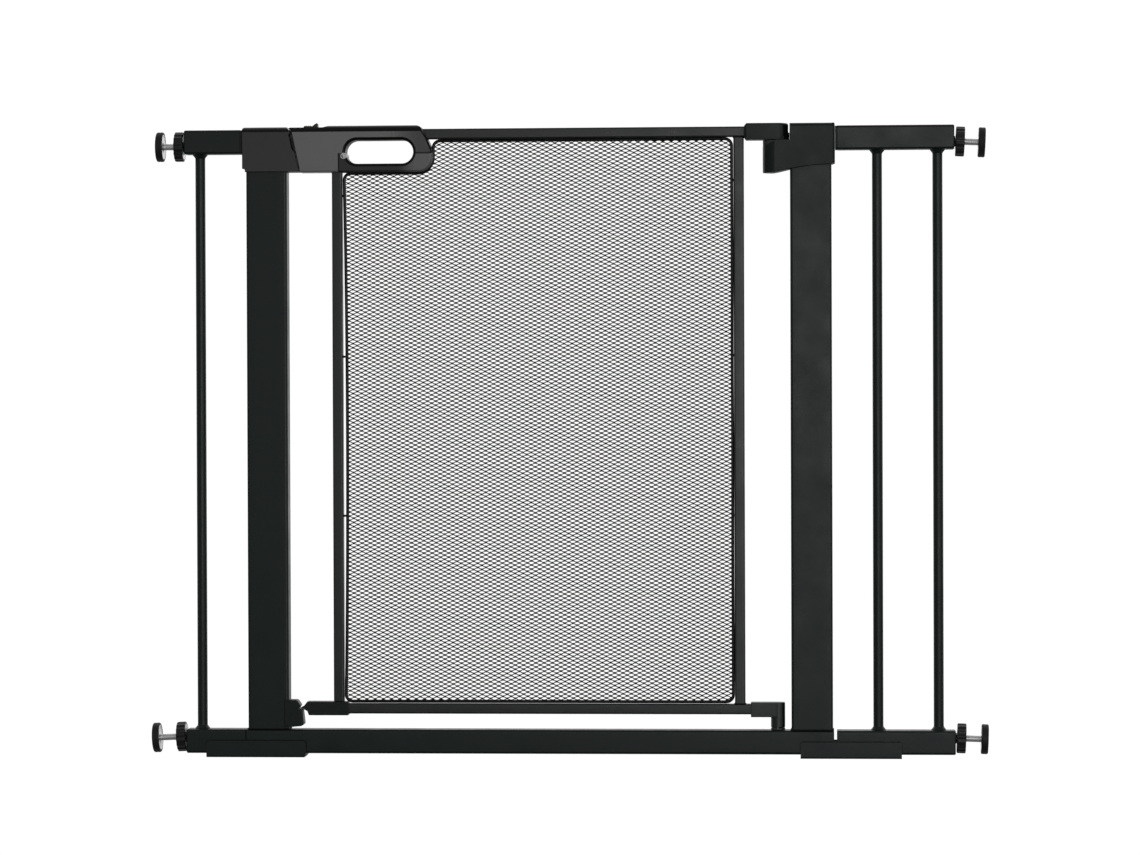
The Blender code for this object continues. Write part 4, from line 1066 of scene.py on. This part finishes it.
def build_pad(corner):
    back, face = extent(f"{corner}_wall_pad")
    disc_back, disc_face = extent(f"{corner}_pad_disc")
    seat, groove = disc_face + 0.0003, face - 0.0008
    cup = [(0, seat), (DISC_R + 0.0003, seat, 0.0003), (DISC_R + 0.0003, back + 0.0001, 0.0005),
           (PAD_R - 0.0006, back, 0.0010), (PAD_R, back + 0.0020, 0.0006),
           (PAD_R - 0.0003, (back + face) / 2, 0.0008), (PAD_R, face - 0.0016, 0.0010),
           (PAD_R - 0.0010, face, 0.0010)]
    for ridge in (0.0130, 0.0095, 0.0060):
        cup += [(ridge + 0.0012, face, 0.0003), (ridge + 0.0008, groove, 0.0003), (ridge, groove, 0.0003),
                (ridge - 0.0004, face, 0.0003)]
    cup.append((0, face))
    disc = [(0, disc_back - 0.0002), (0.0058, disc_back - 0.0002, 0.0003), (0.0068, disc_back + 0.0006, 0.0004),
            (DISC_R - 0.0022, disc_back + 0.0006, 0.0004), (DISC_R - 0.0012, disc_back, 0.0004),
            (DISC_R, disc_back + 0.0001, 0.0004), (DISC_R, disc_face, 0.0002), (0, disc_face)]
    for label, profile, mat, node in (("pad_cup", cup, RUBBER, "wall_pad"), ("pad_plate", disc, ZINC, "pad_disc")):
        hang(spun(f"{corner}_{label}", corner, round_profile(profile, 3), mat, 96), corner, f"{corner}_{node}")


def build_plug(corner):
    outward = spindle_axis(corner)[0]
    level, side = corner.split("_")
    low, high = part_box(f"{side}_extension_{level}_rail")
    half = [(high[i] - low[i]) / 2 - 0.0004 for i in (1, 2)]
    lip = densify(rectangle(*half, 0.0028, 6, (0.0, (low.z + high.z) / 2)), 0.004)
    bm = bmesh.new()
    rings = [(RAIL_END_X + 0.0001, lip), (RAIL_END_X + 0.0006, lip), (RAIL_END_X + 0.0010, inset(lip, even(0.0004)))]
    loft("", [[(outward * x, u, v) for u, v in ring] for x, ring in rings], None, bm=bm)
    hole, collar_end = ROD_R + (0.0009 if DROOP[corner] else 0.0003), extent(f"{corner}_end_plug")[1]
    collar = round_profile([(hole, RAIL_END_X), (0.0068, RAIL_END_X), (0.0066, RAIL_END_X + 0.0012, 0.0002),
                            (0.0062, collar_end, 0.0004), (hole, collar_end)], 3)
    spun("", corner, collar, None, 48, bm)
    place(finish_mesh(f"{corner}_plug_lip", bm, KNOB_PLASTIC), f"{corner}_end_plug")


# ---- camera and light
CAMERA_SPOT = (0.3573, -5.0, 0.4537)
CAMERA_TURN = (-4.064, 0.650, -0.204)  # yaw, pitch and roll in degrees
LIT_POINT = Vector((0.0, 0.0, 0.4))  # the soft boxes face it
WORLD_FRONT, WORLD_BACK = 0.30, 1.0
WHITE, BLACK = (1.0, 1.0, 1.0, 1.0), (0.0, 0.0, 0.0, 1.0)


def build_camera():
    yaw, pitch, roll = (math.radians(a) for a in CAMERA_TURN)
    data = bpy.data.cameras.new("camera")
    data.lens, data.sensor_width, data.clip_end = 131.64, 36.0, 100.0
    camera = new_object("camera", data)
    forward = Vector((math.sin(yaw) * math.cos(pitch), math.cos(yaw) * math.cos(pitch), -math.sin(pitch)))
    rotation = forward.to_track_quat("-Z", "Y").to_matrix() @ Matrix.Rotation(roll, 3, "Z")
    camera.matrix_world = Matrix.Translation(CAMERA_SPOT) @ rotation.to_4x4()
    bpy.context.scene.camera = camera


def area_light(name, location, size, power):
    data = bpy.data.lights.new(name, "AREA")
    data.shape, data.size, data.size_y, data.energy = "RECTANGLE", size[0], size[1], power
    lamp = new_object(name, data)
    lamp.location = location
    lamp.rotation_euler = (LIT_POINT - Vector(location)).to_track_quat("-Z", "Y").to_euler()


def build_world():
    """White behind the object and for the camera, dim in front, where the soft boxes light it."""
    world = bpy.data.worlds.new("studio")
    bpy.context.scene.world = world
    world.use_nodes = True
    tree = world.node_tree
    tree.nodes.clear()
    coords = add_node(tree, "TexCoord", output="Generated")
    sides = add_node(tree, "SeparateXYZ", {0: coords}).node.outputs
    behind = add_node(tree, "MapRange", {
        "Value": sides["Y"], "From Min": 0.05, "From Max": 0.65, "To Min": WORLD_FRONT, "To Max": WORLD_BACK},
        interpolation_type="SMOOTHSTEP")
    above = add_node(tree, "MapRange", {
        "Value": sides["Z"], "From Min": -0.10, "From Max": -0.03, "To Min": 0.4, "To Max": 1.0})
    strength = add_node(tree, "Math", {0: behind, 1: above}, operation="MULTIPLY")
    light = add_node(tree, "Background", {"Strength": strength})
    seen = add_node(tree, "Background", {"Color": WHITE})
    ray = add_node(tree, "LightPath", output="Is Camera Ray")
    add_node(tree, "OutputWorld", {0: add_node(tree, "MixShader", {0: ray, 1: light, 2: seen})})


def build_floor():
    """White floor and walls that cast no light or shadow on the gate."""
    half, top = 30.0, 40.0
    corners = [(-half, -half), (half, -half), (half, half), (-half, half)]
    mesh = bpy.data.meshes.new("floor")
    mesh.from_pydata([(x, y, z) for z in (0.0, top) for x, y in corners], [],
                     [(0, 1, 2, 3)] + [(k, k + 4, (k + 1) % 4 + 4, (k + 1) % 4) for k in range(4)])
    floor = new_object("floor", mesh)
    mat = bpy.data.materials.new("floor_white")
    mat.use_nodes = True
    dress_shader(mat, Base_Color=BLACK, Roughness=0.95, Specular_IOR_Level=0.0, Emission_Color=WHITE,
                 Emission_Strength=1.02)
    mesh.materials.append(mat)
    floor.visible_diffuse = floor.visible_glossy = floor.visible_shadow = False


def build_studio():
    build_world()
    build_floor()
    for light in (("key", (1.25, -5.4, 0.70), (2.6, 2.0), 28.0), ("fill", (-1.5, -5.3, 0.60), (2.6, 1.6), 2.0),
                  ("left_side", (-4.0, -3.6, 0.6), (2.6, 1.8), 0.6),
                  ("right_side", (4.1, -3.9, 0.6), (3.2, 1.8), 13.0)):
        area_light(*light)
    view = bpy.context.scene.view_settings
    view.view_transform, view.look = "Standard", "None"


# ---- all of it
def dress_cad_nodes():
    for name, obj in NODES.items():
        repaint(obj, NODE_FINISH[SLOTS[name]])


for build in (build_camera, build_studio, dress_cad_nodes, build_tubes, build_bars, build_tube_welds,
              build_foot_plates, build_rail_joiners, build_latch_housing, build_lower_catch,
              build_hinge_bracket, build_upper_bush, build_hinge_block, build_elbow, build_catch_cap,
              build_wire_border, build_mesh_panel, build_handle, build_slot_liner, build_grip_pin,
              build_thumb_latch):
    build()
for corner_name in CORNERS:
    for build in (build_rod, build_knob, build_pad, build_plug):
        build(corner_name)
